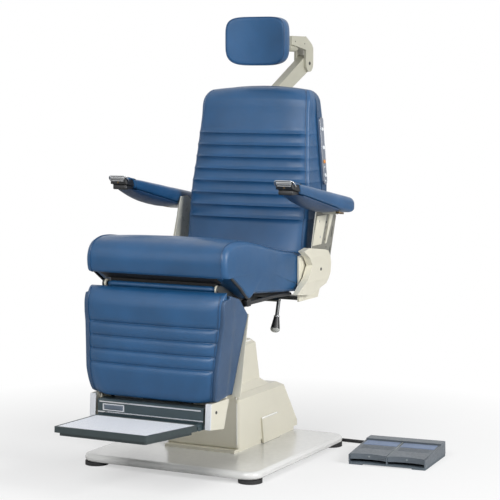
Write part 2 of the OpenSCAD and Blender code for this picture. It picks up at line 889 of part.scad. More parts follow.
// Ring of n points round a centre, square to a direction
function tube_ring(centre, dir, r, n) = let (
    u = dir / norm(dir), side = cross(u, [0, 0, 1]), s = side / norm(side), v = cross(s, u))
    [for (i = [0:n - 1]) let (t = 360 * (i + 0.5) / n) centre + r * cos(t) * s + r * sin(t) * v];

// Tube along a path, with its two ends square to given directions
module tube(path, r, n, first, last) {
    m = len(path) - 1;
    skin([for (i = [0:m]) tube_ring(path[i],
        i == 0 ? first : i == m ? last : path[i + 1] - path[i - 1], r, n)]);
}

module foot_control_cord() {
    color("black") translate([0, base_back, 0]) {
        tube(curve(cord_lead, cord_steps), cord_d / 2, cord_sides, [0, 1, 0], [1, 0, 0]);
        tube(curve(cord_run, cord_steps), cord_d / 2, cord_sides, [1, 0, 0],
            [sin(control_turn), -cos(control_turn), 0]);
    }
}

// Coil: a flat spiral inward on the floor, then outward one layer higher
function coil_point(k) = let (
    turn = k / coil_rings, half = coil_turns / 2, inward = min(turn, coil_turns - turn),
    r = coil_r - inward * coil_step, climb = min(1, max(0, (turn - half + 0.25) * 2)), a = 270 + 360 * turn)
    [coil_x + r * cos(a), coil_y + r * sin(a), cord_d / 2 + climb * coil_rise];
coil_path = [for (k = [0:coil_rings * coil_turns]) coil_point(k)];
coil_gap = min([for (i = [0:len(coil_path) - 1], j = [0:len(coil_path) - 1])
    if (j > i + coil_rings / 3) norm(coil_path[i] - coil_path[j])]) - cord_d;
echo(coil_gap_mm = coil_gap);

module foot_control_coil() {
    color("black") tube(coil_path, cord_d / 2, coil_sides, [1, 0, 0], [1, 0, 0]);
}

// Moving column, its ram and its head
module lift_column() {
    color("silver") translate([0, 0, column_z]) difference() {
        cylinder(r = column_r, h = column_l, $fn = round_fn);
        translate([0, 0, -over]) cylinder(r = column_r - column_wall, h = column_l + 2 * over, $fn = round_fn);
    }
}

module lift_ram() {
    color("silver") translate([0, 0, column_top - head_plug_l - ram_l])
        cylinder(r = ram_r, h = ram_l, $fn = round_fn);
}

module column_head() {
    color("dimgray") difference() {
        union() {
            translate([0, 0, column_top]) cylinder(r = head_flange_r, h = head_flange_t, $fn = round_fn);
            translate([0, 0, column_top - head_plug_l])
                cylinder(r = column_r - column_wall, h = head_plug_l, $fn = round_fn);
        }
        translate([0, 0, column_top + head_flange_t - spindle_l - over])
            cylinder(r = spindle_r + fit, h = spindle_l + 2 * over, $fn = round_fn);
    }
}

// Turntable with its spindle
module turntable() {
    color("silver") {
        translate([0, 0, turntable_z]) cylinder(r = turntable_r, h = turntable_t, $fn = round_fn);
        translate([0, 0, turntable_z - spindle_l]) cylinder(r = spindle_r, h = spindle_l + over, $fn = round_fn);
    }
}

// Seat frame: tapered rails, hub plate, cross members, and the arms that carry the leg rest
module seat_frame() {
    rail_back = cross_y + cross_d + 2 * clear;
    arm_x0 = leg_plate_x + leg_plate_t + clear;
    arm_x1 = arm_x0 + leg_plate_t;
    nose_z = pan_z(rail_front);
    front_z = frame_z + cross_h;
    color("ivory") difference() {
        union() {
            both_sides() along_x(rail_x, rail_x + rail_w) polygon([
                [rail_front, nose_z], [rail_front, nose_z - rail_w], [rail_front + rail_nose, frame_z],
                [rail_back, frame_z], [rail_back, pan_z(rail_back)]]);
            translate([-hub_plate_d / 2, -hub_plate_d / 2, frame_z]) cube([hub_plate_d, hub_plate_d, cross_h]);
            for (y = [-hub_plate_d / 2 - cross_d, hub_plate_d / 2 - cross_d])
                translate([-rail_x, y, frame_z]) cube([2 * rail_x, cross_d, cross_h]);
            translate([-side_plate_x, cross_y, frame_z]) cube([2 * side_plate_x, cross_d, cross_h]);
            translate([-arm_x1, front_cross_y, front_z]) cube([2 * arm_x1, front_cross_d, front_cross_h]);
            both_sides() along_x(arm_x0, arm_x1) hull() {
                disc_at(leg_pivot_y, leg_pivot_z, leg_hub_r, blend_fn);
                translate([front_cross_y, front_z]) square([front_cross_d, front_cross_h]);
            }
            // Hinge pins of the leg rest
            both_sides() rod_x(leg_pivot_r, leg_plate_x - clear, arm_x1, leg_pivot_y, leg_pivot_z);
        }
        rod_x(lever_r + fit, rail_x - over, rail_x + rail_w + over, lever_y, lever_z);
    }
}

// Board under the seat cushion, bent to follow its front
module seat_pan() {
    lip_y = mix(seat_lip_y, seat_knee_y, seat_lip_share);
    lip_z = mix(seat_lip_z, seat_knee_z, seat_lip_share);
    color("black") along_x(-seat_pan_w / 2, seat_pan_w / 2) polygon([
        [lip_y, lip_z], [lip_y, lip_z - pan_t], [seat_knee_y, seat_knee_z - pan_t],
        [seat_back, seat_z - pan_t], [seat_back, seat_z], [seat_knee_y, seat_knee_z]]);
}

// Seat cushion: the side outline is swept across, drawn in at both sides and crowned in the middle
module seat_cushion() {
    mid_y = seat_y(0.45);
    mid_z = seat_up(0.5);
    color("midnightblue") skin([for (k = [0:len(seat_station_shares) - 1])
        let (s = seat_station_shares[k], d = 2 * seat_draw_shares[k] * seat_edge_r, crown = seat_crown * (1 - s * s))
        [for (p = seat_outline_shares)
            let (y = seat_y(p[0]), z = seat_up(p[1]), lift = p[1] > 0.58 ? crown * sin(180 * p[0]) : 0)
            [s * seat_w / 2, y + (mid_y - y) * d / seat_len, z + lift + (mid_z - z) * d / seat_h]]]);
}

// Steel plates beside the seat, bored for the shaft that the back turns on
module side_plates() {
    color("silver") both_sides() difference() {
        along_x(side_plate_x, side_plate_x + side_plate_t) polygon(concat([[cross_y - cross_d, frame_z]],
            [for (s = plate_shares) [pivot_y + s[0] * plate_span, max(frame_z, pivot_z + s[1] * (pivot_z - frame_z))]],
            [[cross_y - cross_d, pivot_z + plate_rise]]));
        rod_x(pivot_r, side_plate_x - over, side_plate_x + side_plate_t + over, pivot_y, pivot_z);
    }
}

// Shaft between the side plates that the back turns on
module pivot_shaft() {
    color("silver") rod_x(pivot_r, -side_plate_x - side_plate_t, side_plate_x + side_plate_t, pivot_y, pivot_z);
}

// Moulded covers over the back pivots, folded inward along their lower half
module side_covers() {
    x1 = cover_x + cover_w;
    low = pivot_z - 2 * cover_fold - cover_draw;
    color("ivory") both_sides() difference() {
        intersection() {
            along_x(cover_x, x1) about_pivot(cover_shares, cover_span);
            along_y(-seat_len, seat_len) polygon([[cover_x, low], [x1 - cover_draw, low], [x1, pivot_z - cover_fold],
                [x1, pivot_z + cover_fold], [x1 - cover_wall, pivot_z + 2 * cover_fold],
                [cover_x, pivot_z + 2 * cover_fold]]);
        }
        along_x(cover_x - over, x1 - cover_wall - cover_draw) offset(delta = -cover_wall)
            about_pivot(cover_shares, cover_span);
    }
}

// Steel arm brackets: each stands on its side plate and carries the arm's hinge pin
module arm_brackets() {
    color("silver") both_sides() {
        along_x(bracket_x, bracket_x + bracket_t) about_pivot(bracket_shares, cover_span);
        rod_x(arm_pin_r, bracket_x, arm_x + arm_core_w - arm_wall, arm_hinge_y, arm_hinge_z);
    }
}

// Plates over the lower part of the arm brackets
module bracket_covers() {
    x = bracket_x + bracket_t;
    color("ivory") both_sides() along_x(x, x + bracket_cover_t) {
        about_pivot(front_strip_shares, cover_span);
        about_pivot(rear_strip_shares, cover_span);
    }
}

// Housing of the swivel brake, under the frame
module lock_block() {
    middle = block_x + block_w / 2;
    low = frame_z - block_drop;
    color("black") difference() {
        translate([block_x, block_y, low]) cube([block_w, block_d, pan_z(block_y + block_d) - clear - low]);
        rod_x(lever_r + fit, middle, block_x + block_w + over, lever_y, lever_z);
    }
}

module on_lever() {
    translate([lever_x, lever_y, lever_z]) rotate([180 - lever_lean, 0, 0]) children();
}

// Brake lever: a cross shaft in the rail, bent down to the knob
module lock_lever() {
    color("silver") {
        rod_x(lever_r, block_x + block_w / 2 + clear, lever_x, lever_y, lever_z);
        on_lever() {
            sphere(r = lever_r + clear, $fn = round_fn);
            cylinder(r = lever_r, h = lever_l, $fn = round_fn);
        }
    }
}

module lever_knob() {
    color("black") on_lever() translate([0, 0, lever_l]) rotate_extrude($fn = round_fn) polygon([
        [0, 0], [knob_neck_r, 0], [knob_tip_r, knob_l - knob_cap], [knob_tip_r, knob_l - knob_cap / 2],
        [knob_tip_r - knob_cap / 2, knob_l], [0, knob_l]]);
}

// Frame inside the back: two bars from the pivot hubs, and two cross members
module back_frame() {
    bar_front = shell_front + bar_gap;
    low = pivot_z - bar_foot_drop;
    color("silver") difference() {
        union() {
            both_sides() {
                along_x(bar_x, bar_x + bar_t) {
                    hull() {
                        disc_at(pivot_y, pivot_z, pivot_hub_r, blend_fn);
                        translate([bar_front, low]) square([bar_d, pivot_hub_r]);
                    }
                    translate([bar_front, low]) square([bar_d, bar_top - low]);
                }
                rod_x(pivot_hub_r, bar_x - 2 * bar_t, bar_x + 3 * bar_t, pivot_y, pivot_z);
            }
            for (z = [back_z + bar_cross_lift, bar_top - bar_cross_h])
                translate([-bar_x, bar_front, z]) cube([2 * bar_x, bar_d, bar_cross_h]);
        }
        rod_x(pivot_r + fit, -seat_w / 2, seat_w / 2, pivot_y, pivot_z);
    }
}

// Front outline of the back shell: straight sides, drawn in above the waist, round shoulders, bowed top
module shell_face(inset) {
    h = shell_w / 2;
    inner = shell_turn - shell_shoulder;
    brow = back_top - shell_shoulder;
    offset(delta = -inset) polygon(concat(
        [[-h, back_z - inset], [h, back_z - inset], [h, shell_waist_z], [h - shell_narrow, shell_chest_z]],
        [for (a = [0:15:75]) [inner + shell_shoulder * cos(a), brow + shell_shoulder * sin(a)]],
        [for (a = [-75:15:75]) [-inner * sin(a), back_top + shell_rise * (1 - pow(sin(a), 2))]],
        [for (a = [105:15:180]) [shell_shoulder * cos(a) - inner, brow + shell_shoulder * sin(a)]],
        [[-h + shell_narrow, shell_chest_z], [-h, shell_waist_z]]));
}

// Back shell: a tray behind the cushion, with a rounded rear edge
module back_shell() {
    top = back_top + shell_rise;
    color("midnightblue") difference() {
        intersection() {
            along_y(shell_front, shell_back) shell_face(0);
            along_x(-shell_w, shell_w) polygon([[shell_front, back_z], [shell_back - shell_edge / 2, back_z],
                [shell_back, back_z + shell_edge], [shell_back, back_top - 2 * shell_shoulder],
                [shell_back - shell_edge, top], [shell_front, top]]);
        }
        along_y(shell_front - over, shell_back - shell_wall - shell_edge) shell_face(shell_wall);
        along_y(shell_front, shell_back - shell_wall) intersection() {
            shell_face(shell_wall + shell_edge);
            translate([-shell_w / 2, back_z - 2 * shell_edge]) square([shell_w, back_h - 2 * shell_shoulder]);
        }
    }
}

// Back cushion: sewn channels between plain head and loin panels, rolled over at the top
module back_cushion() {
    channel_rows = [for (k = [0:back_seams - 1], s = seam_row_shares) back_first_seam + (k + s) * back_channel];
    rows = concat([for (s = back_low_row_shares) s * back_h], channel_rows, [for (s = back_high_row_shares) s * back_h]);
    waist = shell_waist_share * back_h;
    chest = shell_chest_share * back_h;
    color("midnightblue") skin([for (h = rows)
        let (roll = quarter(max(0, 1 - (back_h - h) / back_roll_r)), foot = quarter(max(0, 1 - h / back_foot_r)),
            drawn = shell_narrow * min(1, max(0, h - waist) / (chest - waist)),
            half = back_w / 2 - drawn - back_roll_draw * roll - back_foot_draw * foot,
            front = back_front_y + h * tan(back_lean) + back_roll_depth * roll + back_foot_depth * foot,
            depth = shell_front - front, swell = back_crown * (1 - roll),
            dip = back_seam_depth * groove(h, back_seams, back_channel, back_first_seam))
        [for (p = pad_ring(20, 0.34))
            let (fore = max(0, -p[1]), across = 1 - pow(p[0], 4),
                y = p[1] < 0 ? front + depth * 0.35 * (1 + p[1]) : shell_front - depth * 0.65 * max(0, 1 - 1.1 * p[1]))
            [half * p[0], y - fore * across * (swell - dip), back_z + h]]]);
}

// Strip of switches on the side of the shell, in the plane of the drawn-in side
module on_panel() {
    translate([shell_w / 2, shell_front + shell_d / 2, shell_waist_z]) rotate([0, -panel_angle, 0]) children();
}
module button_place(s, out) {
    on_panel() translate([panel_t + out - button_l, 0, s * panel_l]) rotate([0, 90, 0]) children();
}
module switch_panel() {
    color("slategray") difference() {
        on_panel() rotate([90, 0, 90]) linear_extrude(panel_t) {
            translate([0, panel_l / 2]) square([panel_w, panel_l - panel_w], center = true);
            for (z = [panel_w / 2, panel_l - panel_w / 2]) translate([0, z]) circle(panel_w / 2, $fn = round_fn);
        }
        for (s = button_shares) button_place(s, over)
            cylinder(r = button_r + fit, h = button_l + over, $fn = round_fn);
    }
}
module button(k) {
    color(k == 2 ? "orange" : "white") button_place(button_shares[k], button_out)
        cylinder(r = button_r, h = button_l, $fn = round_fn);
}

// Clevis on the back of the shell that carries the headrest link, with its pin
module head_mount() {
    gap = link_w / 2 + clear / 2;
    low = link_z - mount_h;
    color("ivory") {
        translate([-gap - mount_ear_t, shell_back, low]) cube([2 * (gap + mount_ear_t), bar_t, mount_h]);
        both_sides() along_x(gap, gap + mount_ear_t) hull() {
            disc_at(link_y, link_z, mount_ear_r, blend_fn);
            translate([shell_back, low]) square([bar_t, mount_h]);
        }
        rod_x(link_pin_r, -gap - mount_ear_t, gap + mount_ear_t, link_y, link_z);
    }
}

// Leg rest frame: side plates with hinge bores, foot brackets, the sheet behind the cushion and a rail
module leg_frame() {
    x1 = leg_plate_x + leg_plate_t;
    under = leg_z - clear;
    sheet_z = leg_z + leg_sheet_lift;
    sheet_x = leg_w / 2 - leg_side_inset;
    color("ivory") difference() {
        union() {
            both_sides() along_x(leg_plate_x, x1) {
                disc_at(leg_pivot_y, leg_pivot_z, leg_hub_r);
                polygon([[leg_pivot_y, leg_pivot_z - leg_hub_r], [leg_back, leg_pivot_z - leg_hub_r],
                    [leg_back, under], [leg_front + bracket_nose, under], [leg_front, leg_z - bracket_drop],
                    [leg_front + bracket_tip, leg_z - bracket_tip_drop],
                    [leg_sheet_low_y + bracket_heel, leg_z - bracket_heel], [leg_sheet_low_y, sheet_z],
                    [leg_sheet_top_y, leg_sheet_top_z], [leg_pivot_y + leg_hub_r, leg_pivot_z]]);
            }
            along_x(-sheet_x, sheet_x) polygon([[leg_sheet_low_y, sheet_z], [leg_sheet_low_y + leg_sheet_t, sheet_z],
                [leg_sheet_top_y + leg_sheet_t, leg_sheet_top_z], [leg_sheet_top_y, leg_sheet_top_z]]);
            rod_x(rail_tube_r, -leg_plate_x, leg_plate_x, rail_tube_y, leg_z - rail_tube_drop);
        }
        both_sides() rod_x(leg_pivot_r + fit, leg_plate_x - 2 * over, x1 + over, leg_pivot_y, leg_pivot_z);
    }
}

// Front pad of the leg rest with sewn channels, narrower towards the feet and round at its lower corners
function leg_front_at(h) = leg_front - leg_lean_share * max(0, leg_h - leg_first_seam - h)
    + leg_tuck_share * max(0, leg_tuck - h);
module leg_cushion() {
    channel_rows = [for (k = [leg_seams - 1:-1:0], i = [3:-1:0])
        leg_h - leg_first_seam - (k + seam_row_shares[i]) * leg_channel];
    rows = concat([for (s = leg_low_row_shares) s * leg_h], channel_rows, [for (s = leg_high_row_shares) s * leg_h]);
    color("midnightblue") skin([for (h = rows)
        let (high = max(0, 1 - (leg_h - h) / leg_roll_r), roll = quarter(high), foot = quarter(max(0, 1 - h / leg_foot_r)),
            half = leg_w / 2 - leg_taper_share * max(0, leg_h - leg_taper_top - h)
                - leg_corner_draw * quarter(0.999 * max(0, 1 - h / leg_corner_r)) - 2 * roll,
            front = leg_front_at(h) + leg_roll_depth * roll + leg_foot_depth * foot,
            back = leg_back - leg_roll_back * high, mid = (front + back) / 2, swell = leg_crown * (1 - roll),
            dip = leg_seam_depth * groove(leg_h - h, leg_seams, leg_channel, leg_first_seam))
        [for (p = pad_ring(20, 0.34))
            [half * p[0], mid + (back - front) / 2 * min(1, 1.1 * p[1])
                - max(0, -p[1]) * (1 - pow(p[0], 4)) * (swell - dip), leg_z + h]]]);
}

// Upholstered cheeks behind the front pad
module leg_side_panels() {
    x0 = leg_plate_x + leg_plate_t + leg_side_gap;
    x1 = leg_w / 2 - leg_side_inset;
    low = leg_z + leg_sheet_lift;
    color("midnightblue") both_sides() intersection() {
        along_x(x0, x1) polygon([[leg_back, low], [leg_sheet_low_y, low], [leg_sheet_top_y, leg_sheet_top_z],
            [leg_sheet_top_y - leg_side_crest, leg_top - leg_side_back_drop],
            [leg_back, leg_top - leg_side_front_drop]]);
        along_y(-seat_len, seat_len) polygon([[x0, leg_z], [x1 - leg_taper_share * leg_h, leg_z],
            [x1, leg_top - leg_taper_top], [x1, leg_top], [x0, leg_top]]);
    }
}

// Housing above the foot plate, with lugs that hold its hinge pin
module foot_box() {
    h = foot_box_w / 2;
    back = box_front + box_d;
    barrel_r = hinge_r + hinge_wall;
    color("darkslategray") {
        along_x(-h, h) polygon([[box_front, box_z], [back, box_z], [back, box_z + foot_box_h],
            [box_front + box_edge, box_z + foot_box_h], [box_front, box_z + foot_box_h - box_edge]]);
        translate([-leg_plate_x, back - box_lug_d, box_z + box_lug_lift]) cube([2 * leg_plate_x, box_lug_d, box_lug_h]);
        both_sides() along_x(h - hinge_end - lug_w, h - hinge_end) {
            disc_at(hinge_y, hinge_z, barrel_r);
            translate([hinge_y, hinge_z - barrel_r]) square([box_front - hinge_y + box_edge, 2 * barrel_r]);
        }
        rod_x(hinge_r, -h + hinge_end, h - hinge_end, hinge_y, hinge_z);
    }
}

// Bright strips and a bare plate on the face of the foot box
module foot_box_trims() {
    w = foot_box_w;
    y = box_front - trim_t;
    color("silver") {
        translate([trim_short - w / 2, y, box_z + foot_box_h - trim_high]) cube([w - 2 * trim_short, trim_t, trim_h]);
        translate([-w / 2, y, box_z + trim_low]) cube([w, trim_t, trim_h]);
        translate([label_x, y, box_z + label_lift]) cube([label_w, trim_t, label_h]);
    }
}

module in_plate() {
    translate([0, hinge_y, hinge_z]) rotate([-foot_tilt, 0, 0]) children();
}

// Plan of the foot plate, drawn in by inset and cut off behind a line
module plate_plan(inset, back) {
    heel = foot_box_w / 2 - leg_plate_t / 2;
    r = plate_corner_r;
    intersection() {
        offset(r = r) offset(delta = -r - inset) polygon([[-foot_plate_w / 2, -foot_plate_l],
            [foot_plate_w / 2, -foot_plate_l], [heel, plate_heel], [-heel, plate_heel]]);
        translate([-foot_box_w, back - 2 * foot_plate_l]) square([2 * foot_box_w, 2 * foot_plate_l]);
    }
}

// Foot plate: a tapered tray on the hinge pin, with a shallow frame below
module foot_plate() {
    half_t = foot_plate_t / 2;
    barrel_r = hinge_r + hinge_wall;
    slot_x = foot_box_w / 2 - hinge_end - lug_w - clear;
    color("darkslategray") in_plate() difference() {
        union() {
            translate([0, 0, -half_t]) linear_extrude(foot_plate_t) plate_plan(0, plate_heel);
            translate([0, 0, -half_t - plate_under]) linear_extrude(plate_under + over)
                plate_plan(plate_under_inset, -plate_under_back);
        }
        translate([0, 0, half_t - mat_t]) linear_extrude(mat_t + over) plate_plan(rim_w, -barrel_r - mat_t);
        both_sides() translate([slot_x, -barrel_r - 2 * clear, -foot_plate_t])
            cube([foot_box_w, foot_box_w, 2 * foot_plate_t]);
        rod_x(hinge_r + fit, -foot_box_w, foot_box_w, 0, 0);
    }
}
module foot_plate_mat() {
    barrel_r = hinge_r + hinge_wall;
    color("lightgray") in_plate() translate([0, 0, foot_plate_t / 2 - mat_t]) linear_extrude(mat_t + mat_proud)
        plate_plan(rim_w, -barrel_r - mat_t);
}

// Armrests, modelled on the +X side
function arm_top(y) = arm_z - (y - arm_front) * arm_slope;
function arm_seam(y) = arm_z - arm_seam_drop - (y - arm_front - arm_seam_start) * arm_seam_share;

// Outline of the steel blade that runs forward from the hub, grown by a gap
module arm_blade(grow) {
    y = arm_front + arm_blade_l;
    polygon([[arm_hinge_y, arm_hinge_z - arm_blade_h - grow], [arm_hinge_y, arm_hinge_z + arm_blade_h + grow],
        [y - grow, arm_seam(y) - arm_blade_top + grow], [y - grow, arm_seam(y) - arm_blade_top - arm_blade_h - grow]]);
}
module arm_core() {
    color("silver") difference() {
        union() {
            rod_x(arm_hub_r, arm_x, arm_x + arm_core_w, arm_hinge_y, arm_hinge_z);
            along_x(arm_x + arm_blade_inset, arm_x + arm_core_w - arm_wall) arm_blade(0);
        }
        rod_x(arm_pin_r + fit, arm_x - over, arm_x + arm_core_w + over, arm_hinge_y, arm_hinge_z);
    }
}

// Room for the core inside the pad and the cover
module arm_core_room() {
    rod_x(arm_hub_r + soft_clear, arm_x - over, arm_x + arm_core_w + arm_wall, arm_hinge_y, arm_hinge_z);
    along_x(arm_x + arm_blade_inset - soft_clear, arm_x + arm_core_w - arm_wall + soft_clear) arm_blade(soft_clear);
}

// Upholstered top of the arm
module arm_pad() {
    mid = arm_x + arm_w / 2;
    start = arm_front + arm_cap_l;
    color("midnightblue") difference() {
        skin([for (row = arm_pad_shares)
            let (y = start + row[0] * arm_l, high = arm_top(y),
                low = arm_seam(min(y, arm_hinge_y)) + arm_seam_gap - max(0, y - arm_hinge_y) * arm_tail_share)
            [for (p = pad_ring(16, 0.5))
                [mid + p[0] * arm_w / 2 * mix(0.9, 1, row[1]), y, mix(low, high, (1 + p[1] * row[1]) / 2)]]]);
        arm_core_room();
    }
}

// Moulded boat-shaped cover below the pad
module arm_cover() {
    mid = arm_x + arm_w / 2;
    start = arm_front + arm_cover_start;
    color("midnightblue") difference() {
        skin([for (row = arm_cover_shares)
            let (y = start + row[0] * arm_l, top = arm_seam(y) - arm_seam_gap)
            [for (p = pad_ring(16, 0.6)) let (below = max(0, -p[1]))
                [mid + p[0] * arm_w / 2 * row[2] * (1 - 0.25 * below), y, top - max(0, 1 - abs(p[1])) * soft_clear
                    - below * row[1] * arm_belly]]]);
        arm_core_room();
    }
}

// End cap at the front of the arm
module arm_cap() {
    y1 = arm_front + arm_cap_l;
    z0 = arm_top(arm_front);
    z1 = arm_top(y1);
    edge = arm_cap_edge;
    skin_drop = edge / 3;
    color("black") intersection() {
        along_x(arm_x + arm_cap_inset, arm_x + arm_w - arm_cap_inset) polygon([
            [arm_front + edge, z0 - arm_cap_h], [arm_front, z0 - arm_cap_h / 2], [arm_front, z0 - edge],
            [arm_front + edge, z0 - skin_drop], [y1, z1 - skin_drop], [y1, z1 - arm_cap_h]]);
        translate([arm_x + arm_w / 2, arm_front + arm_w / 2, 0]) linear_extrude(arm_z + over)
            rounded_rect(arm_w - 2 * arm_cap_inset, arm_w, 2 * edge);
    }
}

// Headrest link: a deep bar with round ends
module head_link() {
    function side(y, z, r) = [y - r * sin(link_angle), z + r * cos(link_angle)];
    color("ivory") difference() {
        along_x(-link_w / 2, link_w / 2) {
            disc_at(link_y, link_z, link_low_r);
            disc_at(elbow_y, elbow_z, link_high_r);
            polygon([side(link_y, link_z, link_low_r), side(link_y, link_z, -link_low_r),
                side(elbow_y, elbow_z, -link_high_r), side(elbow_y, elbow_z, link_high_r)]);
        }
        rod_x(link_pin_r + fit, -link_w, link_w, link_y, link_z);
        rod_x(link_pin_r + fit, -link_w, link_w, elbow_y, elbow_z);
    }
}

// Elbow: two cheeks over the link, joined above it, with the link's pin and the rod clamp
module head_elbow() {
    gap = link_w / 2 + clear / 2;
    top = elbow_z + elbow_rise;
    nose = clamp_y - clamp_nose;
    heel = elbow_y - elbow_r;
    toe = elbow_y + elbow_r;
    color("ivory") difference() {
        union() {
            both_sides() along_x(gap, gap + elbow_t) {
                disc_at(elbow_y, elbow_z, elbow_r);
                polygon([[heel, elbow_z], [toe, elbow_z], [toe, elbow_z + elbow_shoulder],
                    [toe - elbow_bevel, elbow_z + elbow_crest], [heel, top], [nose, top], [nose, rod_z + rod_r],
                    [heel, rod_z - rod_r]]);
            }
            along_x(-gap, gap) polygon([[nose, top], [nose, rod_z + rod_r], [heel, rod_z + rod_r], [heel, top]]);
            rod_y(rod_r + clamp_wall, clamp_y, clamp_y + clamp_l, 0, rod_z);
            rod_x(link_pin_r, -gap - elbow_t, gap + elbow_t, elbow_y, elbow_z);
        }
        rod_y(rod_r + fit, nose - over, elbow_y, 0, rod_z);
    }
}

// Rod that slides in the clamp, with the tilt eye at its front
module head_rod() {
    color("silver") difference() {
        union() {
            rod_y(rod_r, tilt_y + tilt_r + clear, elbow_y - rod_tail, 0, rod_z);
            rod_x(tilt_eye_r, clear - rod_r, rod_r - clear, tilt_y, rod_z);
        }
        rod_x(tilt_r + fit, -2 * rod_r, 2 * rod_r, tilt_y, rod_z);
    }
}

// Plate behind the pad, with the ears and the pin that tilt on the rod's eye
module head_bracket() {
    back = head_front + head_t;
    root = back + pad_plate_t - over;
    gap = rod_r + tilt_gap;
    color("black") {
        translate([-pad_plate_w / 2, back, rod_z - pad_plate_h / 2]) cube([pad_plate_w, pad_plate_t, pad_plate_h]);
        both_sides() along_x(gap, gap + tilt_ear_t) {
            disc_at(tilt_y, rod_z, tilt_ear_r);
            translate([root, rod_z - tilt_ear_r]) square([tilt_y - root, 2 * tilt_ear_r]);
        }
        rod_x(tilt_r, -gap - tilt_ear_t, gap + tilt_ear_t, tilt_y, rod_z);
    }
}

// Headrest pad: curved forward at both wings, narrower at the top
module head_pad() {
    color("midnightblue") skin([for (s = head_station_shares)
        let (a = abs(s), edge = 1 - 0.45 * pow(max(0, a - 0.9) / 0.1, 2),
            high = head_h - head_corner * pow(max(0, a - 0.62) / 0.38, 1.6), low = head_belly * a * a,
            half = (high - low) / 2 * mix(0.86, 1, edge), mid_z = head_z + (high + low) / 2,
            mid_y = head_front + head_t / 2 - head_wing * s * s, thick = head_t / 2 * mix(0.4, 1, edge) * (1 - 0.1 * a * a))
        [for (p = pad_ring(18, 0.55)) [s * head_w / 2, mid_y + thick * p[0], mid_z + half * p[1]]]]);
}

base_plate();
base_feet();
plinth_frame();
lower_shroud();
tower_shroud();
shroud_side_cover();
guide_tube();
lift_cylinder();
pump_unit();
cord_glands();
foot_control_base();
foot_control_housing();
pedal(-1);  // pedal_left
pedal(1);  // pedal_right
foot_control_cord();
foot_control_coil();
lift_column();
lift_ram();
column_head();
turntable();
seat_frame();
seat_pan();
seat_cushion();
side_plates();
pivot_shaft();
side_covers();
arm_brackets();
bracket_covers();
lock_block();
lock_lever();
lever_knob();
back_frame();
back_shell();
back_cushion();
switch_panel();
head_mount();
button(0);  // button_1
button(1);  // button_2
button(2);  // button_3
button(3);  // button_4
leg_frame();
leg_cushion();
leg_side_panels();
foot_box();
foot_box_trims();
foot_plate();
foot_plate_mat();
arm_core();  // arm_core_left
mirror([1, 0, 0]) arm_core();  // arm_core_right
arm_pad();  // arm_pad_left
mirror([1, 0, 0]) arm_pad();  // arm_pad_right
arm_cover();  // arm_cover_left
mirror([1, 0, 0]) arm_cover();  // arm_cover_right
arm_cap();  // arm_cap_left
mirror([1, 0, 0]) arm_cap();  // arm_cap_right
head_link();
head_elbow();
head_rod();
head_bracket();
head_pad();
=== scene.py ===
import bmesh
import bpy
import numpy as np
from math import copysign, cos, exp, pi, radians, sin, sqrt, tan
from mathutils import Matrix, Vector, noise


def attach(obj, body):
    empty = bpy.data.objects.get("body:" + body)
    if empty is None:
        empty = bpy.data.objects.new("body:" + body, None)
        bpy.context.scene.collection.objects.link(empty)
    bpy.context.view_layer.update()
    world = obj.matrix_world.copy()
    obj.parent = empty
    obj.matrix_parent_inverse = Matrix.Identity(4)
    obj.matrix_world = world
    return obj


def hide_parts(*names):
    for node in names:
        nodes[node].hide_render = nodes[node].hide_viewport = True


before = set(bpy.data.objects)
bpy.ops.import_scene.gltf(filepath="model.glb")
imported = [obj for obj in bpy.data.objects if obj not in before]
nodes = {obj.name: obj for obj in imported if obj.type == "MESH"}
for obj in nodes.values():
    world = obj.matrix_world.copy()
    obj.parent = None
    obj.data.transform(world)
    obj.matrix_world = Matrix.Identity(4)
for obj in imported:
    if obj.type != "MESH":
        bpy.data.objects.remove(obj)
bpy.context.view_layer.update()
MM = 0.001
SIDES = ((1, "left"), (-1, "right"))


def srgb(r, g, b):
    """Linear colour from 0-255 display values."""
    def lin(c):
        c /= 255.0
        return c / 12.92 if c <= 0.04045 else ((c + 0.055) / 1.055) ** 2.4
    return (lin(r), lin(g), lin(b), 1.0)


def smooth(a, b, x):
    """Soft step from 0 at a to 1 at b."""
    t = min(1.0, max(0.0, (x - a) / (b - a)))
    return t * t * (3 - 2 * t)


def quarter(t):
    """Fall of a quarter circle, from 0 at t = 0 to 1 at t = 1."""
    return 1 - sqrt(max(0.0, 1 - t * t))


def circle(n, start=0.0):
    """Cosine and sine at n even steps round a circle."""
    angles = [2 * pi * (i + start) / n for i in range(n)]
    return [(cos(a), sin(a)) for a in angles]


def rounding(n):
    """Quarter circle in n steps, as (draw-in, depth) pairs from (0, 1) to (1, 0)."""
    angles = [pi / 2 * i / n for i in range(n + 1)]
    return [(1 - cos(a), 1 - sin(a)) for a in angles]


def link(name, data):
    ob = bpy.data.objects.new(name, data)
    bpy.context.scene.collection.objects.link(ob)
    return ob


# Camera: fitted to the photograph

CAMERA_PLACE = (2.6659, -4.9399, 1.2447)
CAMERA_YAW, CAMERA_DOWN = 27.236, 5.774
cam = bpy.data.cameras.new("camera")
cam.lens = 124.667
cam.sensor_width = 36.0
cam.sensor_fit = "HORIZONTAL"
cam.clip_end = 60
camera = link("camera", cam)
camera.location = CAMERA_PLACE
camera.rotation_euler = (radians(90 - CAMERA_DOWN), 0, radians(CAMERA_YAW))
bpy.context.scene.camera = camera


# Materials

def node(t, kind, inputs, out=0, **settings):
    """Adds a shader node and returns one of its outputs. An input takes a socket or a plain value."""
    n = t.nodes.new("ShaderNode" + kind)
    for key, value in settings.items():
        setattr(n, key, value)
    for key, value in inputs.items():
        if isinstance(value, bpy.types.NodeSocket):
            t.links.new(value, n.inputs[key])
        else:
            n.inputs[key].default_value = value
    return n.outputs[out]


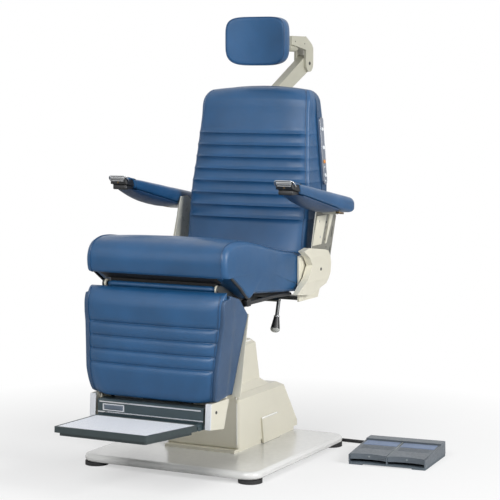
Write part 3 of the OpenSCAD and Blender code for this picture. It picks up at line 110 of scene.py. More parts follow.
def new_material(name, colour, rough, metallic=0.0, coat=0.0, coat_rough=0.15, specular=0.5):
    m = bpy.data.materials.new(name)
    m.use_nodes = True
    t = m.node_tree
    b = t.nodes["Principled BSDF"]
    values = {"Base Color": colour, "Roughness": rough, "Metallic": metallic, "Coat Weight": coat,
              "Coat Roughness": coat_rough, "Specular IOR Level": specular}
    for key, value in values.items():
        b.inputs[key].default_value = value
    return m, t, b


def texture(t, kind, scale, detail=2.0, rough=0.5, stretch=None):
    """Noise or cells in object space, optionally stretched."""
    place = node(t, "TexCoord", {}, "Object")
    if stretch:
        place = node(t, "Mapping", {"Vector": place, "Scale": stretch}, "Vector")
    inputs = {"Vector": place, "Scale": scale}
    if kind == "noise":
        return node(t, "TexNoise", {**inputs, "Detail": detail, "Roughness": rough}, "Fac")
    feature = "DISTANCE_TO_EDGE" if kind == "edge" else "F1"
    return node(t, "TexVoronoi", inputs, "Distance", feature=feature)


def ramp(t, src, lo, hi, a=0, b=1):
    """Maps a value from lo..hi to a..b."""
    ends = {"From Min": lo, "From Max": hi, "To Min": a, "To Max": b}
    return node(t, "MapRange", {"Value": src, **ends}, "Result")


def blend(t, share, a, b):
    return node(t, "Mix", {"A": a, "B": b, "Factor": share}, "Result", data_type="RGBA")


def tone(c, k):
    return (min(1, c[0] * k), min(1, c[1] * k), min(1, c[2] * k), 1.0)


def drift(t, colour, scale, detail, dark, light, ends=(0.3, 0.7)):
    """Slow change between two tones of a colour."""
    share = ramp(t, texture(t, "noise", scale, detail), *ends)
    return blend(t, share, tone(colour, dark), tone(colour, light))


def gloss(t, src, rough, down, up):
    """Roughness that varies with a texture."""
    return ramp(t, src, 0.3, 0.7, rough - down, rough + up)


def dress(t, b, colour, rough, layers):
    """Gives a shader its colour, its roughness and a chain of bumps: (height, strength, distance)."""
    chain = {}
    for height, strength, distance in layers:
        inputs = {"Height": height, "Strength": strength, "Distance": distance, **chain}
        chain = {"Normal": node(t, "Bump", inputs, "Normal")}
    for key, socket in {"Base Color": colour, "Roughness": rough, **chain}.items():
        t.links.new(socket, b.inputs[key])


def vinyl(name, colour, rough=0.36, grain=0.45):
    """Upholstery vinyl: pebbled grain, slow colour drift, gloss that varies with handling."""
    m, t, b = new_material(name, colour, rough, coat=0.22, coat_rough=0.3, specular=0.4)
    cells = ramp(t, texture(t, "edge", 620), 0.0, 0.16)
    dress(t, b, drift(t, colour, 9, 3, 0.88, 1.12), gloss(t, texture(t, "noise", 22, 4), rough, 0.05, 0.07),
          [(texture(t, "noise", 34, 3), 0.22, 0.0016), (cells, grain, 0.00022),
           (texture(t, "noise", 2600, 2), 0.2, 0.00008)])
    return m


def paint(name, colour, rough=0.36, peel=0.25, coat=0.15):
    """Sprayed paint with fine orange peel."""
    m, t, b = new_material(name, colour, rough, coat=coat, coat_rough=0.2)
    dress(t, b, drift(t, colour, 5, 3, 0.965, 1.02, (0.35, 0.65)),
          gloss(t, texture(t, "noise", 60, 2), rough, 0.04, 0.05),
          [(texture(t, "noise", 420, 2), peel, 0.0003)])
    return m


def steel(name, colour, rough=0.3, along="Z", brush=0.5):
    """Brushed or drawn steel with streaks along one axis."""
    m, t, b = new_material(name, colour, rough, metallic=1.0)
    stretch = [0.03 if axis == along else 1 for axis in "XYZ"]
    streak = texture(t, "noise", 900, 3, 0.6, stretch)
    dress(t, b, drift(t, colour, 14, 4, 1, 0.86, (0.35, 0.7)), gloss(t, streak, rough, 0.07, 0.1),
          [(streak, brush * 0.3, 0.00012)])
    return m


def plastic(name, colour, rough=0.45, grain=900, strength=0.3):
    """Moulded plastic with a spark-eroded texture and slight shade changes."""
    m, t, b = new_material(name, colour, rough)
    dress(t, b, drift(t, colour, 18, 3, 0.9, 1.12), gloss(t, texture(t, "noise", 120, 3), rough, 0.06, 0.08),
          [(texture(t, "noise", grain, 3), strength, 0.00025)])
    return m


def speckled_mat():
    """Pale foot mat with a fine mottle and darker specks."""
    colour = srgb(246, 248, 252)
    m, t, b = new_material("speckled_mat", colour, 0.55)
    mottle = blend(t, ramp(t, texture(t, "noise", 700, 2), 0.44, 0.5), srgb(218, 222, 230), colour)
    specks = ramp(t, texture(t, "voronoi", 420), 0.13, 0.08, 0, 0.75)
    dress(t, b, blend(t, specks, mottle, srgb(164, 170, 182)),
          gloss(t, texture(t, "noise", 90, 3), 0.55, 0.05, 0.11),
          [(texture(t, "noise", 800, 2), 0.5, 0.0003)])
    return m


def two_tones(material, edge, near, far):
    """Changes a paint's colour at a distance from the chair's middle plane."""
    t = material.node_tree
    x = node(t, "SeparateXYZ", {0: node(t, "TexCoord", {}, "Object")}, "X")
    out = node(t, "Math", {0: x}, operation="ABSOLUTE")
    colour = blend(t, ramp(t, out, edge, edge + MM), near, far)
    t.links.new(colour, t.nodes["Principled BSDF"].inputs["Base Color"])


CREAM = srgb(217, 213, 196)
FRAME_DARK = srgb(58, 60, 60)
BRACKET_PALE = srgb(204, 203, 192)
VINYL = vinyl("navy_vinyl", srgb(28, 78, 121))
VINYL_DARK = vinyl("navy_vinyl_dark", srgb(20, 54, 88), 0.5, 0.4)
VINYL_SIDE = vinyl("navy_vinyl_side", srgb(46, 74, 106), 0.46, 0.4)
PIPING = vinyl("navy_piping", srgb(24, 66, 105), 0.30, 0.2)
PIPING_DARK = vinyl("dark_piping", srgb(12, 26, 42), 0.4, 0.2)
THREAD = plastic("navy_thread", srgb(22, 58, 94), 0.6, 3000)
SHELL = vinyl("shell_vinyl", srgb(34, 70, 104), 0.45, 0.5)
CREAM_PAINT = paint("cream_paint", CREAM, coat=0.3)
# Near-white paint for the shroud's bends and the cover lip: painted highlight, lighter than the cream it
# edges
HIGHLIGHT_PAINT = paint("highlight_paint", srgb(240, 239, 234), 0.2, peel=0.1, coat=0.4)
LINK_PAINT = paint("link_paint", srgb(182, 180, 164), 0.42, peel=0.5)
# Bluish white paint: painted highlight on the shoe flanges, which face the front light; the bright rail
# sleeve and the label rim use it too
PALE_AND_HIGHLIGHT_PAINT = paint("pale_and_highlight_paint", srgb(214, 217, 222), 0.3)
BASE_PAINT = paint("base_paint", srgb(216, 216, 214), 0.22, peel=0.08, coat=0.5)
RUBBER = plastic("rubber", srgb(34, 34, 35), 0.7, 500, 0.4)
CHROME = steel("chrome", srgb(212, 214, 216), 0.12, "X", 0.1)
STEEL = steel("steel", srgb(176, 178, 178), 0.3)
STEEL_X = steel("steel_x", srgb(184, 186, 186), 0.28, "X")
STEEL_DARK = steel("dark_steel", srgb(96, 98, 98), 0.36)
FRAME_PAINT = paint("frame_paint", FRAME_DARK, 0.42, peel=0.4)
BRACKET = paint("bracket_paint", BRACKET_PALE, 0.3, peel=0.1, coat=0.3)
CAST = paint("cast_paint", srgb(70, 74, 76), 0.5, peel=0.6)
BLACK = plastic("black_plastic", srgb(28, 29, 31), 0.38)
BLACK_SATIN = plastic("black_board", srgb(24, 23, 24), 0.6, 400)
GREY = plastic("control_plastic", srgb(84, 92, 100), 0.4, 1100, 0.4)
GREY_BASE = plastic("control_base", srgb(78, 88, 96), 0.5, 1100, 0.4)
BAND = plastic("pedal_band", srgb(112, 128, 156), 0.5, 1500, 0.2)
CORD = plastic("cord_sheath", srgb(24, 24, 26), 0.42, 1600, 0.2)
PANEL = steel("panel_metal", srgb(150, 158, 172), 0.38, "Z", 0.4)
BOX = paint("box_paint", srgb(52, 68, 74), 0.34, peel=0.35)
RIM = plastic("foot_rim", srgb(44, 56, 58), 0.45, 700)
WHITE = plastic("white_button", srgb(226, 230, 232), 0.25, 2000, 0.1)
AMBER = plastic("amber_button", srgb(222, 142, 60), 0.25, 2000, 0.1)
BRASS = steel("brass", srgb(122, 102, 72), 0.32, "Z")
PLATE = steel("label_plate", srgb(112, 122, 134), 0.42, "X")
DOME = plastic("knob_dome", srgb(168, 170, 166), 0.2, 2000, 0.1)
LIGHT_GREY = plastic("rib_grey", srgb(126, 134, 136), 0.4)
MAT = speckled_mat()

# The frame is cream beyond the seat's sides, and the brackets are darker on their outer faces
FRAME_EDGE, BRACKET_EDGE = 0.236, 0.2595
two_tones(FRAME_PAINT, FRAME_EDGE, FRAME_DARK, CREAM)
two_tones(BRACKET, BRACKET_EDGE, BRACKET_PALE, srgb(128, 127, 118))

FINISH = {
    BASE_PAINT: "base_plate", RUBBER: "base_feet", GREY_BASE: "foot_control_base", SHELL: "back_shell",
    CREAM_PAINT: "plinth_frame lower_shroud tower_shroud shroud_side_cover side_plates side_covers "
                 "bracket_covers leg_frame",
    STEEL: "guide_tube lift_column turntable back_frame arm_core_left arm_core_right", STEEL_X: "pivot_shaft",
    CAST: "lift_cylinder pump_unit column_head", CHROME: "lift_ram foot_box_trims head_rod",
    BLACK: "cord_glands lock_block lever_knob arm_cap_left arm_cap_right head_bracket",
    GREY: "foot_control_housing pedal_left pedal_right", FRAME_PAINT: "seat_frame", BLACK_SATIN: "seat_pan",
    BRACKET: "arm_brackets", STEEL_DARK: "lock_lever", PANEL: "switch_panel",
    LINK_PAINT: "head_mount head_link head_elbow", WHITE: "button_1 button_2 button_4", AMBER: "button_3",
    BOX: "foot_box", RIM: "foot_plate", MAT: "foot_plate_mat",
}
for material, names in FINISH.items():
    for name in names.split():
        ob = nodes[name]
        if not len(ob.material_slots):
            ob.data.materials.append(material)
        for s in ob.material_slots:
            s.material = material

# Slot names for each material, for a piece whose call names no other; piece looks one up but gives the piece
# no slot
SLOTS = {
    "vinyl": (VINYL, VINYL_DARK, VINYL_SIDE, PIPING, PIPING_DARK, THREAD), "cord_rubber": (CORD,),
    "black_plastic": (BLACK, BLACK_SATIN), "steel": (CHROME, BRASS, STEEL, PLATE),
    "button_white": (WHITE, DOME), "control_plastic": (BAND, GREY, LIGHT_GREY),
    "cream_paint": (CREAM_PAINT, HIGHLIGHT_PAINT, PALE_AND_HIGHLIGHT_PAINT),
}
SLOT_OF = {material: slot for slot, group in SLOTS.items() for material in group}


# Mesh helpers: all sizes below are in millimetres of the part's own frame

def piece(name, form, material, body=None, slot=None):
    """Smooth mesh of a form (vertices, faces), which rides on its body if it is given one."""
    verts, faces = form
    me = bpy.data.meshes.new(name)
    me.from_pydata([(v[0] * MM, v[1] * MM, v[2] * MM) for v in verts], [], faces)
    me.validate()
    bm = bmesh.new()
    bm.from_mesh(me)
    bmesh.ops.recalc_face_normals(bm, faces=bm.faces)
    bm.to_mesh(me)
    bm.free()
    me.update()
    ob = link(name, me)
    for p in me.polygons:
        p.use_smooth = True
    me.materials.append(material)
    if body:
        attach(ob, body)
        slot or SLOT_OF[material]
    return ob


def skin(rings, caps=True):
    """Form over closed rings."""
    n = len(rings[0])
    verts = [tuple(p) for ring in rings for p in ring]
    faces = [(k * n + i, k * n + (i + 1) % n, (k + 1) * n + (i + 1) % n, (k + 1) * n + i)
             for k in range(len(rings) - 1) for i in range(n)]
    if caps:
        for k, flip in ((0, True), (len(rings) - 1, False)):
            mid = len(verts)
            verts.append(tuple(sum(p[a] for p in rings[k]) / n for a in range(3)))
            for i in range(n):
                a, b = k * n + i, k * n + (i + 1) % n
                faces.append((mid, b, a) if flip else (mid, a, b))
    return verts, faces


def tube(points, r, sides=10, closed=False, taper=None):
    """Rings of a round tube along a path, without twist."""
    pts = [Vector(p) for p in points]
    m = len(pts)
    rings = []
    u = None
    for k, p in enumerate(pts):
        if closed:
            d = pts[(k + 1) % m] - pts[k - 1]
        else:
            d = pts[min(k + 1, m - 1)] - pts[max(k - 1, 0)]
        d.normalize()
        if u is None:
            up = Vector((0, 0, 1)) if abs(d.z) < 0.9 else Vector((1, 0, 0))
            u = d.cross(up).normalized()
        else:
            u = (u - d * u.dot(d)).normalized()
        v = d.cross(u)
        rr = r * (taper(k / (m - 1)) if taper else 1)
        rings.append([p + rr * c * u + rr * s * v for c, s in circle(sides)])
    if closed:
        rings.append(rings[0])
    return rings


def tube_piece(name, points, r, material, body, sides=10, slot=None, closed=False, taper=None):
    return piece(name, skin(tube(points, r, sides, closed, taper), not closed), material, body, slot)


def lathe(profile, centre, axis, n=28):
    """Turned form: profile of (radius, height) about an axis through a centre."""
    q = Vector(axis).normalized().to_track_quat("Z", "Y")
    middle = Vector(centre)
    return skin([[middle + q @ Vector((r * c, r * s, h)) for c, s in circle(n)] for r, h in profile])


def screw(centre, axis, r):
    """Round-head screw with a socket, its head standing on the surface."""
    k = r / 4.4
    profile = [(0.01, -0.9), (1.9, -0.9), (2.0, 1.0), (2.9, 1.15), (3.8, 0.8), (4.3, 0.2), (4.4, -0.5),
               (4.4, -1.2)]
    return lathe([(a * k, b * k) for a, b in profile], centre, axis, 24)


def superellipse(e, nf, ns, nb):
    """Section of a pad in shares of its half width and half depth, front at y = -1."""
    d = 2 ** (-1 / e)

    def other(a):
        return (1 - min(1, abs(a)) ** e) ** (1 / e)

    front, side, back = ([-d + 2 * d * i / n for i in range(n)] for n in (nf, ns, nb))
    return ([(x, -other(x)) for x in front] + [(other(y), y) for y in side] + [(-x, other(x)) for x in back]
            + [(-other(y), -y) for y in side])


def spread(*spans):
    """Rows from spans of (start, end, step)."""
    out = []
    for a, b, step in spans:
        n = max(1, round((b - a) / step))
        out += [a + (b - a) * i / n for i in range(n)]
    out.append(spans[-1][1])
    return out


def route(points, steps=10):
    """Smooth curve through points."""
    pts = [Vector(p) for p in points]
    n = len(pts) - 1
    out = []
    for i in range(n):
        a, b, c, d = pts[max(i - 1, 0)], pts[i], pts[i + 1], pts[min(i + 2, n)]
        for s in range(steps):
            t = s / steps
            out.append(0.5 * (2 * b + (c - a) * t + (2 * a - 5 * b + 4 * c - d) * t * t
                              + (3 * b - a - 3 * c + d) * t ** 3))
    out.append(pts[n])
    return out


def across(side, points):
    """Points on the left of the chair, or mirrored to its right."""
    return [(side * p[0], *p[1:]) for p in points]


# The cord of the foot control: its points are those of the part's source

CORD_R = 5.9
LEAD = [(-140, 351.5, 25), (-140, 357, 24.5), (-137, 369, 20), (-126, 380, 11), (-105, 384, 6.5),
        (-70, 384, 6), (-32, 384, 6), (-20, 384, 6)]
RUN = [(-20, 384, 18.8), (-8, 384, 18.8), (30, 384, 18.6), (70, 382, 12), (110, 380, 6.5), (200, 376, 6),
       (300, 373, 6), (390, 374, 6), (445, 373, 8), (476, 359, 12), (487, 341, 16), (489, 329, 17),
       (489.6, 322.4, 17)]
COIL_MID, COIL_R, COIL_TURNS, COIL_POINTS = (-20, 450, 6), 66, 3, 72
COIL_STEP, COIL_RISE = 13.6, 12.8
CONTROL_TURN = radians(5)


def coil(k):
    """Point of the coil, which lies in two layers: inward on the floor, then outward above."""
    turn = k / COIL_POINTS
    r = COIL_R - min(turn, COIL_TURNS - turn) * COIL_STEP
    climb = smooth(0, 1, (turn - COIL_TURNS / 2 + 0.25) * 2)
    a = radians(270 + 360 * turn)
    x, y, z = COIL_MID
    return Vector((x + r * cos(a), y + r * sin(a), z + climb * COIL_RISE))


turns = [coil(k) for k in range(COIL_POINTS * COIL_TURNS + 1)]
cord_path = route(LEAD)[:-1] + turns + route(RUN)[1:]
cord = tube_piece("control_cord", cord_path, CORD_R, CORD, "base", 16)
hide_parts("foot_control_cord", "foot_control_coil")


def relief(name, centre, axis):
    """Tapered and ribbed strain relief on a gland."""
    profile = [(0.01, -3), (8.2, -3), (8.4, 0)]
    for i in range(6):
        r, z = 8.6 - i * 0.28, 1 + i * 4.2
        profile += [(r, z), (r, z + 2.2), (r - 1.1, z + 2.8), (r - 1.1, z + 3.6)]
    profile += [(6.7, 27), (6.1, 29), (0.01, 29)]
    return piece(name, lathe(profile, centre, axis), BLACK, "base")


reliefs = [relief("relief_plate", (-140, 337, 25), (0, 1, -0.12)),
           relief("relief_control", (491.2, 304.5, 17), (-sin(CONTROL_TURN), cos(CONTROL_TURN), 0))]


# Upholstery. Each cushion starts a little small, is filled by a cloth simulation, and is then sewn.

CLOTH = dict(quality=4, mass=0.25, tension_stiffness=14, compression_stiffness=14, shear_stiffness=6,
             bending_stiffness=1.2, use_pressure=True, uniform_pressure_force=4.0, vertex_group_mass="held")
CLOTH_FRAMES, EASE_ROUNDS = 20, 60
cushions = []


def cushion(name, rings, body, pin, cap, replaces, fill):
    """Vinyl skin over rings, with a pinning weight and a limit of movement for each vertex, filled later."""
    form = skin(rings)
    places = [Vector(v) for v in form[0]]
    caps = [cap(v) if callable(cap) else cap for v in places]
    cushions.append(dict(ob=piece(name, form, VINYL), pins=[pin(v) for v in places], caps=caps, body=body,
                         node=replaces, fill=fill, ring=len(rings[0]), rows=len(rings)))
    return cushions[-1]


def eased(ob, moves, held):
    """Smooths the cloth's moves over the mesh, so that neither a limit nor a held edge leaves a line."""
    move = np.array([m[:] for m in moves])
    free = (1 - np.array(held))[:, None]
    edges = np.array([e.vertices[:] for e in ob.data.edges])
    count = np.bincount(edges.ravel(), minlength=len(move))[:, None]
    for _ in range(EASE_ROUNDS):
        near = np.zeros_like(move)
        np.add.at(near, edges[:, 0], move[edges[:, 1]])
        np.add.at(near, edges[:, 1], move[edges[:, 0]])
        move = (move + near / count) / 2 * (0.25 + 0.75 * free)
    return [Vector(m) * f for m, f in zip(move.tolist(), free[:, 0].tolist())]


def add_cloth(c):
    held = c["ob"].vertex_groups.new(name="held")
    for i, weight in enumerate(c["pins"]):
        if weight > 0:
            held.add([i], weight, "REPLACE")
    m = c["ob"].modifiers.new("fill", "CLOTH")
    for key, value in CLOTH.items():
        setattr(m.settings, key, value)
    m.settings.effector_weights.gravity = 0
    m.point_cache.frame_start = 1
    m.point_cache.frame_end = CLOTH_FRAMES


def keep_cloth(c, moved):
    """Takes the cloth off and keeps its moves, limited and eased."""
    ob = c["ob"]
    ob.modifiers.clear()
    ob.vertex_groups.clear()
    moves = []
    for v, p, cap in zip(ob.data.vertices, moved, c["caps"]):
        d = p - v.co
        moves.append(d * (cap * MM / (cap * MM + d.length)) * 1.25)
    for v, d in zip(ob.data.vertices, eased(ob, moves, c["pins"])):
        v.co = v.co + d
    ob.data.update()


def fill_all():
    scene = bpy.context.scene
    for c in cushions:
        add_cloth(c)
    for f in range(1, CLOTH_FRAMES + 1):
        scene.frame_set(f)
    deps = bpy.context.evaluated_depsgraph_get()
    moved = [[v.co.copy() for v in c["ob"].evaluated_get(deps).data.vertices] for c in cushions]
    for c, places in zip(cushions, moved):
        keep_cloth(c, places)
    scene.frame_set(1)
    for c in cushions:
        c["normals"] = [v.normal.copy() for v in c["ob"].data.vertices]


def wrinkle(p, scale, seed):
    return noise.noise(Vector((p[0] * scale + seed, p[1] * scale, p[2] * scale)))


# Back cushion

BACK_Z, BACK_H, BACK_W = 652.2, 544.0, 448.0
SHELL_FRONT, BACK_FRONT = 327.0, 179.0
BACK_ROLL, BACK_FOOT, BACK_DRAW = 58, 14, 18
LEAN = tan(radians(10.1))
BACK_SEAMS, BACK_PITCH, BACK_FIRST = 8, 40.1, 117.0
pad_section = superellipse(2 / 0.34, 72, 20, 24)


def back_point(h, p, inset=2.0):
    """Point of the pad at a height above its foot and a place of the section."""
    roll = quarter(max(0, 1 - (BACK_H - h) / BACK_ROLL))
    foot = quarter(max(0, 1 - h / BACK_FOOT))
    drawn = BACK_DRAW * min(1, max(0, h - 0.415 * BACK_H) / (0.423 * BACK_H))
    half = BACK_W / 2 - drawn - 30 * roll - 6 * foot - inset + 4 * (1 - smooth(160, 320, h))
    front = BACK_FRONT + h * LEAN + 46 * roll + 12 * foot + inset
    depth = SHELL_FRONT - front
    x = p[0]
    if p[1] < 0:
        y = front + depth * 0.35 * (1 + p[1])
    else:
        y = SHELL_FRONT - depth * 0.65 * max(0, 1 - 1.1 * p[1])
    if p[1] > 0:
        x = copysign(1, x) if abs(x) > 0.888 else x / 0.889
    rise = 10 * (1 - x * x) * smooth(BACK_H - 80, BACK_H, h)
    return (half * x, y - max(0, -p[1]) * (1 - p[0] ** 4) * 9 * (1 - roll), BACK_Z + h + rise)


def back_pin(v):
    return max(smooth(SHELL_FRONT - 30, SHELL_FRONT - 4, v.y), smooth(BACK_Z + 505, BACK_Z + 530, v.z),
               1 - smooth(BACK_Z + 6, BACK_Z + 20, v.z))


low = BACK_FIRST - BACK_PITCH / 2
top = BACK_FIRST + (BACK_SEAMS - 0.5) * BACK_PITCH
back_rows = spread((0, BACK_FOOT, 2), (BACK_FOOT, low, 6), (low, top, 2.005), (top, BACK_H - 46, 6),
                   (BACK_H - 46, BACK_H - 8, 3), (BACK_H - 8, BACK_H, 1.3))
back_rings = [[back_point(h, p) for p in pad_section] for h in back_rows]
back = cushion("back_pad", back_rings, "back", back_pin, 4.0, "back_cushion", 0.85)

# Leg cushion

LEG_Z, LEG_H, LEG_W, LEG_FRONT, LEG_BACK = 257.2, 334.0, 494.0, -418.0, -358.0
LEG_ROLL, LEG_FOOT, LEG_CORNER = 54, 26, 100
LEG_SEAMS, LEG_PITCH, LEG_FIRST = 4, 41.7, 107.0


def leg_corner(h):
    """Share of the rounding of the pad's lower corners."""
    return quarter(0.999 * max(0, 1 - h / LEG_CORNER))


def leg_half(h):
    return LEG_W / 2 - 0.086 * max(0, LEG_H - 80 - h) - 12 * leg_corner(h)


def leg_front(h):
    return LEG_FRONT - 0.11 * max(0, LEG_H - LEG_FIRST - h) + 0.132 * max(0, 80 - h)


def leg_high(h):
    return max(0, 1 - (LEG_H - h) / LEG_ROLL)


def leg_point(h, p, inset=1.5):
    roll = quarter(leg_high(h))
    foot = quarter(max(0, 1 - h / LEG_FOOT))
    half = leg_half(h) - 2 * roll - inset - 4 * smooth(-0.95, -0.6, p[1])
    front = leg_front(h) + 38 * roll + 12 * foot + inset
    rear = LEG_BACK - 17 * leg_high(h)
    front += 22 * leg_corner(h) * smooth(0.72, 1.0, abs(p[0]))
    y = (front + rear) / 2 + (rear - front) / 2 * min(1, 1.1 * p[1])
    return (half * p[0], y - max(0, -p[1]) * (1 - p[0] ** 4) * 5 * (1 - roll), LEG_Z + h)


def leg_pin(v):
    return max(smooth(LEG_BACK - 34, LEG_BACK - 19, v.y), smooth(LEG_Z + 300, LEG_Z + 322, v.z))


top = LEG_H - LEG_FIRST + LEG_PITCH / 2
low = LEG_H - LEG_FIRST - (LEG_SEAMS - 0.5) * LEG_PITCH
leg_rows = spread((0, LEG_FOOT, 2.6), (LEG_FOOT, low, 5), (low, top, 2.085), (top, LEG_H - 56, 5),
                  (LEG_H - 56, LEG_H - 8, 3), (LEG_H - 8, LEG_H, 1.3))
leg_rings = [[leg_point(h, p) for p in pad_section] for h in leg_rows]
leg = cushion("leg_pad", leg_rings, "leg", leg_pin, lambda v: 1.0 + 3.0 * smooth(330, 480, v.z),
              "leg_cushion", 0.85)

# Seat cushion: its side outline, in shares of length and height, swept across

SEAT_Z, SEAT_H, SEAT_FRONT, SEAT_L, SEAT_W = 536.2, 204.0, -401.0, 560.0, 500.0
SEAT_REAR, SEAT_EDGE = SEAT_FRONT + SEAT_L, 18
SEAT_CURVE = [(1, 0.598), (0.893, 0.65), (0.695, 0.74), (0.505, 0.85), (0.3625, 0.935), (0.227, 0.99),
              (0.14, 1), (0.09, 0.985), (0.045, 0.945), (0.014, 0.86), (0, 0.74), (0, 0.62), (0.006, 0.54),
              (0.016, 0.495), (0.036, 0.466)]
SEAT_CORNERS = [(0.036, 0.466), (0.241, 0.191), (1, 0), (1, 0.598)]
SEAT_MID = (SEAT_FRONT + 0.45 * SEAT_L, SEAT_Z + 0.5 * SEAT_H)
# Lower edge of the seat's side panels (y, z), from the lip past the knee to the rear
SIDE_LINE = [(-401, 668), (-381, 648), (-300, 597), (-262, 566), (-247, 557.5), (-236, 556), (-222, 565),
             (-208, 571), (159, 539)]
LIP_POINTS = 94


def seat_outline():
    """Smooth top and lip, then straight lines along the underside and up the rear."""
    def place(shares):
        return (SEAT_FRONT + shares[0] * SEAT_L, SEAT_Z + shares[1] * SEAT_H)

    out = [(p.y, p.z) for p in route([(0, *place(q)) for q in SEAT_CURVE], 7)]
    corners = [place(q) for q in SEAT_CORNERS]
    for (y0, z0), (y1, z1), n in zip(corners, corners[1:], (20, 60, 12)):
        out += [(y0 + (y1 - y0) * i / n, z0 + (z1 - z0) * i / n) for i in range(1, n + 1)]
    return out[:-1]


def seat_side(y):
    for (y0, z0), (y1, z1) in zip(SIDE_LINE, SIDE_LINE[1:]):
        if y <= y1:
            return z0 + (z1 - z0) * max(0, y - y0) / (y1 - y0)
    return SIDE_LINE[-1][1]


seat_ring = seat_outline()


def seat_station(x, draw, size):
    """Ring at a place across the seat, drawn in at its edges and scaled about its middle."""
    s = x / (SEAT_W / 2)
    crown = 7 * max(0, 1 - s * s)
    outer = smooth(197, 212, abs(x))
    mid_y, mid_z = SEAT_MID
    ring = []
    for j, (y, z) in enumerate(seat_ring):
        if j > LIP_POINTS:
            z += outer * (seat_side(y) - z) * (1 - smooth(SEAT_REAR - 12, SEAT_REAR, y))
        a = min(1, max(0, (y - SEAT_FRONT) / SEAT_L))
        lift = crown * sin(pi * a) if (z - SEAT_Z) / SEAT_H > 0.58 else 0
        yy = y + (mid_y - y) * 2 * draw / SEAT_L
        zz = z + lift + (mid_z - z) * 2 * draw / SEAT_H
        ring.append((x, mid_y + (yy - mid_y) * size, mid_z + (zz - mid_z) * size))
    return ring


def seat_half(sign):
    """Rings from one side to the middle, at stations of (x, draw, size, share of the side's bulge)."""
    flat, rings = SEAT_W / 2 - SEAT_EDGE, []
    stations = [(SEAT_W / 2, SEAT_EDGE, size, out)
                for size, out in ((0.02, 1), (0.2, 0.96), (0.4, 0.84), (0.6, 0.64), (0.8, 0.36),
                                  (0.92, 0.15))]
    stations += [(SEAT_W / 2 - SEAT_EDGE * w, SEAT_EDGE * u, 1.0, 0) for u, w in rounding(9)[:0:-1]]
    stations += [(flat - flat * i / 16, 0, 1.0, 0) for i in range(17)]
    for x, draw, size, out in stations:
        ring = seat_station(sign * (x - 1.5), draw, size)
        if out:
            ring = [(px + sign * 4 * out * smooth(40, -60, py), py, pz) for px, py, pz in ring]
        rings.append(ring)
    return rings


def seat_pin(v):
    under = SEAT_Z + 0.191 * SEAT_H * (SEAT_REAR - v.y) / (0.759 * SEAT_L)
    lip = SEAT_Z + (0.466 - 0.275 * (v.y - SEAT_FRONT) / SEAT_L / 0.205 + 0.048) * SEAT_H
    base = max(under, lip) if v.y < SEAT_FRONT + 0.25 * SEAT_L else under
    return max(1 - smooth(2, 22, v.z - base), smooth(SEAT_REAR - 30, SEAT_REAR - 8, v.y),
               smooth(222, 240, abs(v.x)))


seat = cushion("seat_pad", seat_half(-1) + seat_half(1)[-2::-1], "seat", seat_pin, 3.5, "seat_cushion", 0.85)

# Headrest pad: curved forward at both wings, and held everywhere, so that it keeps its modelled form

HEAD_Y = 281.03
ROD_Z = 1176.2 + 262 * sin(radians(24.7)) + 56
HEAD_MID_X, HEAD_MID_Z = 4, ROD_Z - 64 + 80
HEAD_HALF_W, HEAD_HALF_H, HEAD_T, HEAD_WING, HEAD_SQUARE = 111, 80, 51.5, 15, 4.8
HEAD_FRONT_R, HEAD_REAR_R = 7, 12.5


def head_outline():
    """Front outline of the pad about its middle, squarer at the top than at its lower corners."""
    pts = []
    for c, s in circle(128):
        k = HEAD_SQUARE if s > 0 else HEAD_SQUARE - 0.9
        pts.append((copysign(abs(c) ** (2 / k), c), copysign(abs(s) ** (2 / k), s)))
    return pts


head_line = head_outline()


def head_layer(size, y, cut=0.0):
    """One outline of the pad: size scales it, cut draws it in, y is its depth behind the front."""
    ring = []
    for px, pz in head_line:
        x = HEAD_MID_X + px * size * (HEAD_HALF_W - cut)
        z = HEAD_MID_Z + pz * size * (HEAD_HALF_H - cut)
        ring.append((x, HEAD_Y - 2 - HEAD_WING * (x / 110) ** 2 + y, z))
    return ring


head_rings = [head_layer(k, 0) for k in (0.02, 0.1, 0.2, 0.3, 0.4, 0.5, 0.6, 0.7, 0.79, 0.87)]
head_rings += [head_layer(1, HEAD_FRONT_R * w, HEAD_FRONT_R * u) for u, w in rounding(7)[::-1]]
head_rings += [head_layer(1, y, -1.4 * sin(pi * (y - HEAD_FRONT_R) / 32))
               for y in (11, 17, 23, 29, 35)]
head_rings += [head_layer(1, HEAD_T - HEAD_REAR_R * w, HEAD_REAR_R * u) for u, w in rounding(7)]
head_rings += [head_layer(k, HEAD_T) for k in (0.82, 0.6, 0.4, 0.2, 0.03)]
head = cushion("headrest_pad", head_rings, "headrest", lambda v: 1.0, 2.0, "head_pad", 0.9)

# Arm pads

ARM_X, ARM_W, ARM_L, ARM_FRONT, ARM_Z = 266.0, 72.0, 479.0, -119.0, 917.2
ARM_MID, ARM_HINGE_Y = ARM_X + ARM_W / 2, 254.0
ARM_SLOPE = tan(radians(9.5))
ARM_NOSE, ARM_TAIL, CAP_Z = 10, 34, 902
arm_start, arm_end = ARM_FRONT + 7, ARM_FRONT + 66 + 0.862 * ARM_L
arm_section = superellipse(4.4, 18, 14, 18)


def arm_seam(y):
    """Height of the seam between the pad and the boat under it."""
    return ARM_Z - 48 - (y - ARM_FRONT - 60) * 0.225


def arm_ring(y, side, inset=1.5):
    tail = max(0.0, 1 - (arm_end - y) / ARM_TAIL)
    nose = max(0.0, 1 - (y - arm_start) / ARM_NOSE)
    k = max(0.42, 1 - 0.58 * quarter(tail)) * (1 - 0.06 * quarter(nose))
    high = ARM_Z - (y - ARM_FRONT) * ARM_SLOPE
    low = arm_seam(min(y, ARM_HINGE_Y)) + 0.4 - max(0, y - ARM_HINGE_Y) * 0.16
    low += (CAP_Z - low) * (1 - smooth(ARM_FRONT + 40, ARM_FRONT + 58, y))
    c, h = (high + low) / 2, (high - low) / 2
    w = ARM_W / 2 * (0.62 + 0.38 * k if tail else 0.9 + 0.1 * k)
    return [(side * ARM_MID + p[0] * (w - inset), y, c + p[1] * (h * k - inset)) for p in arm_section]


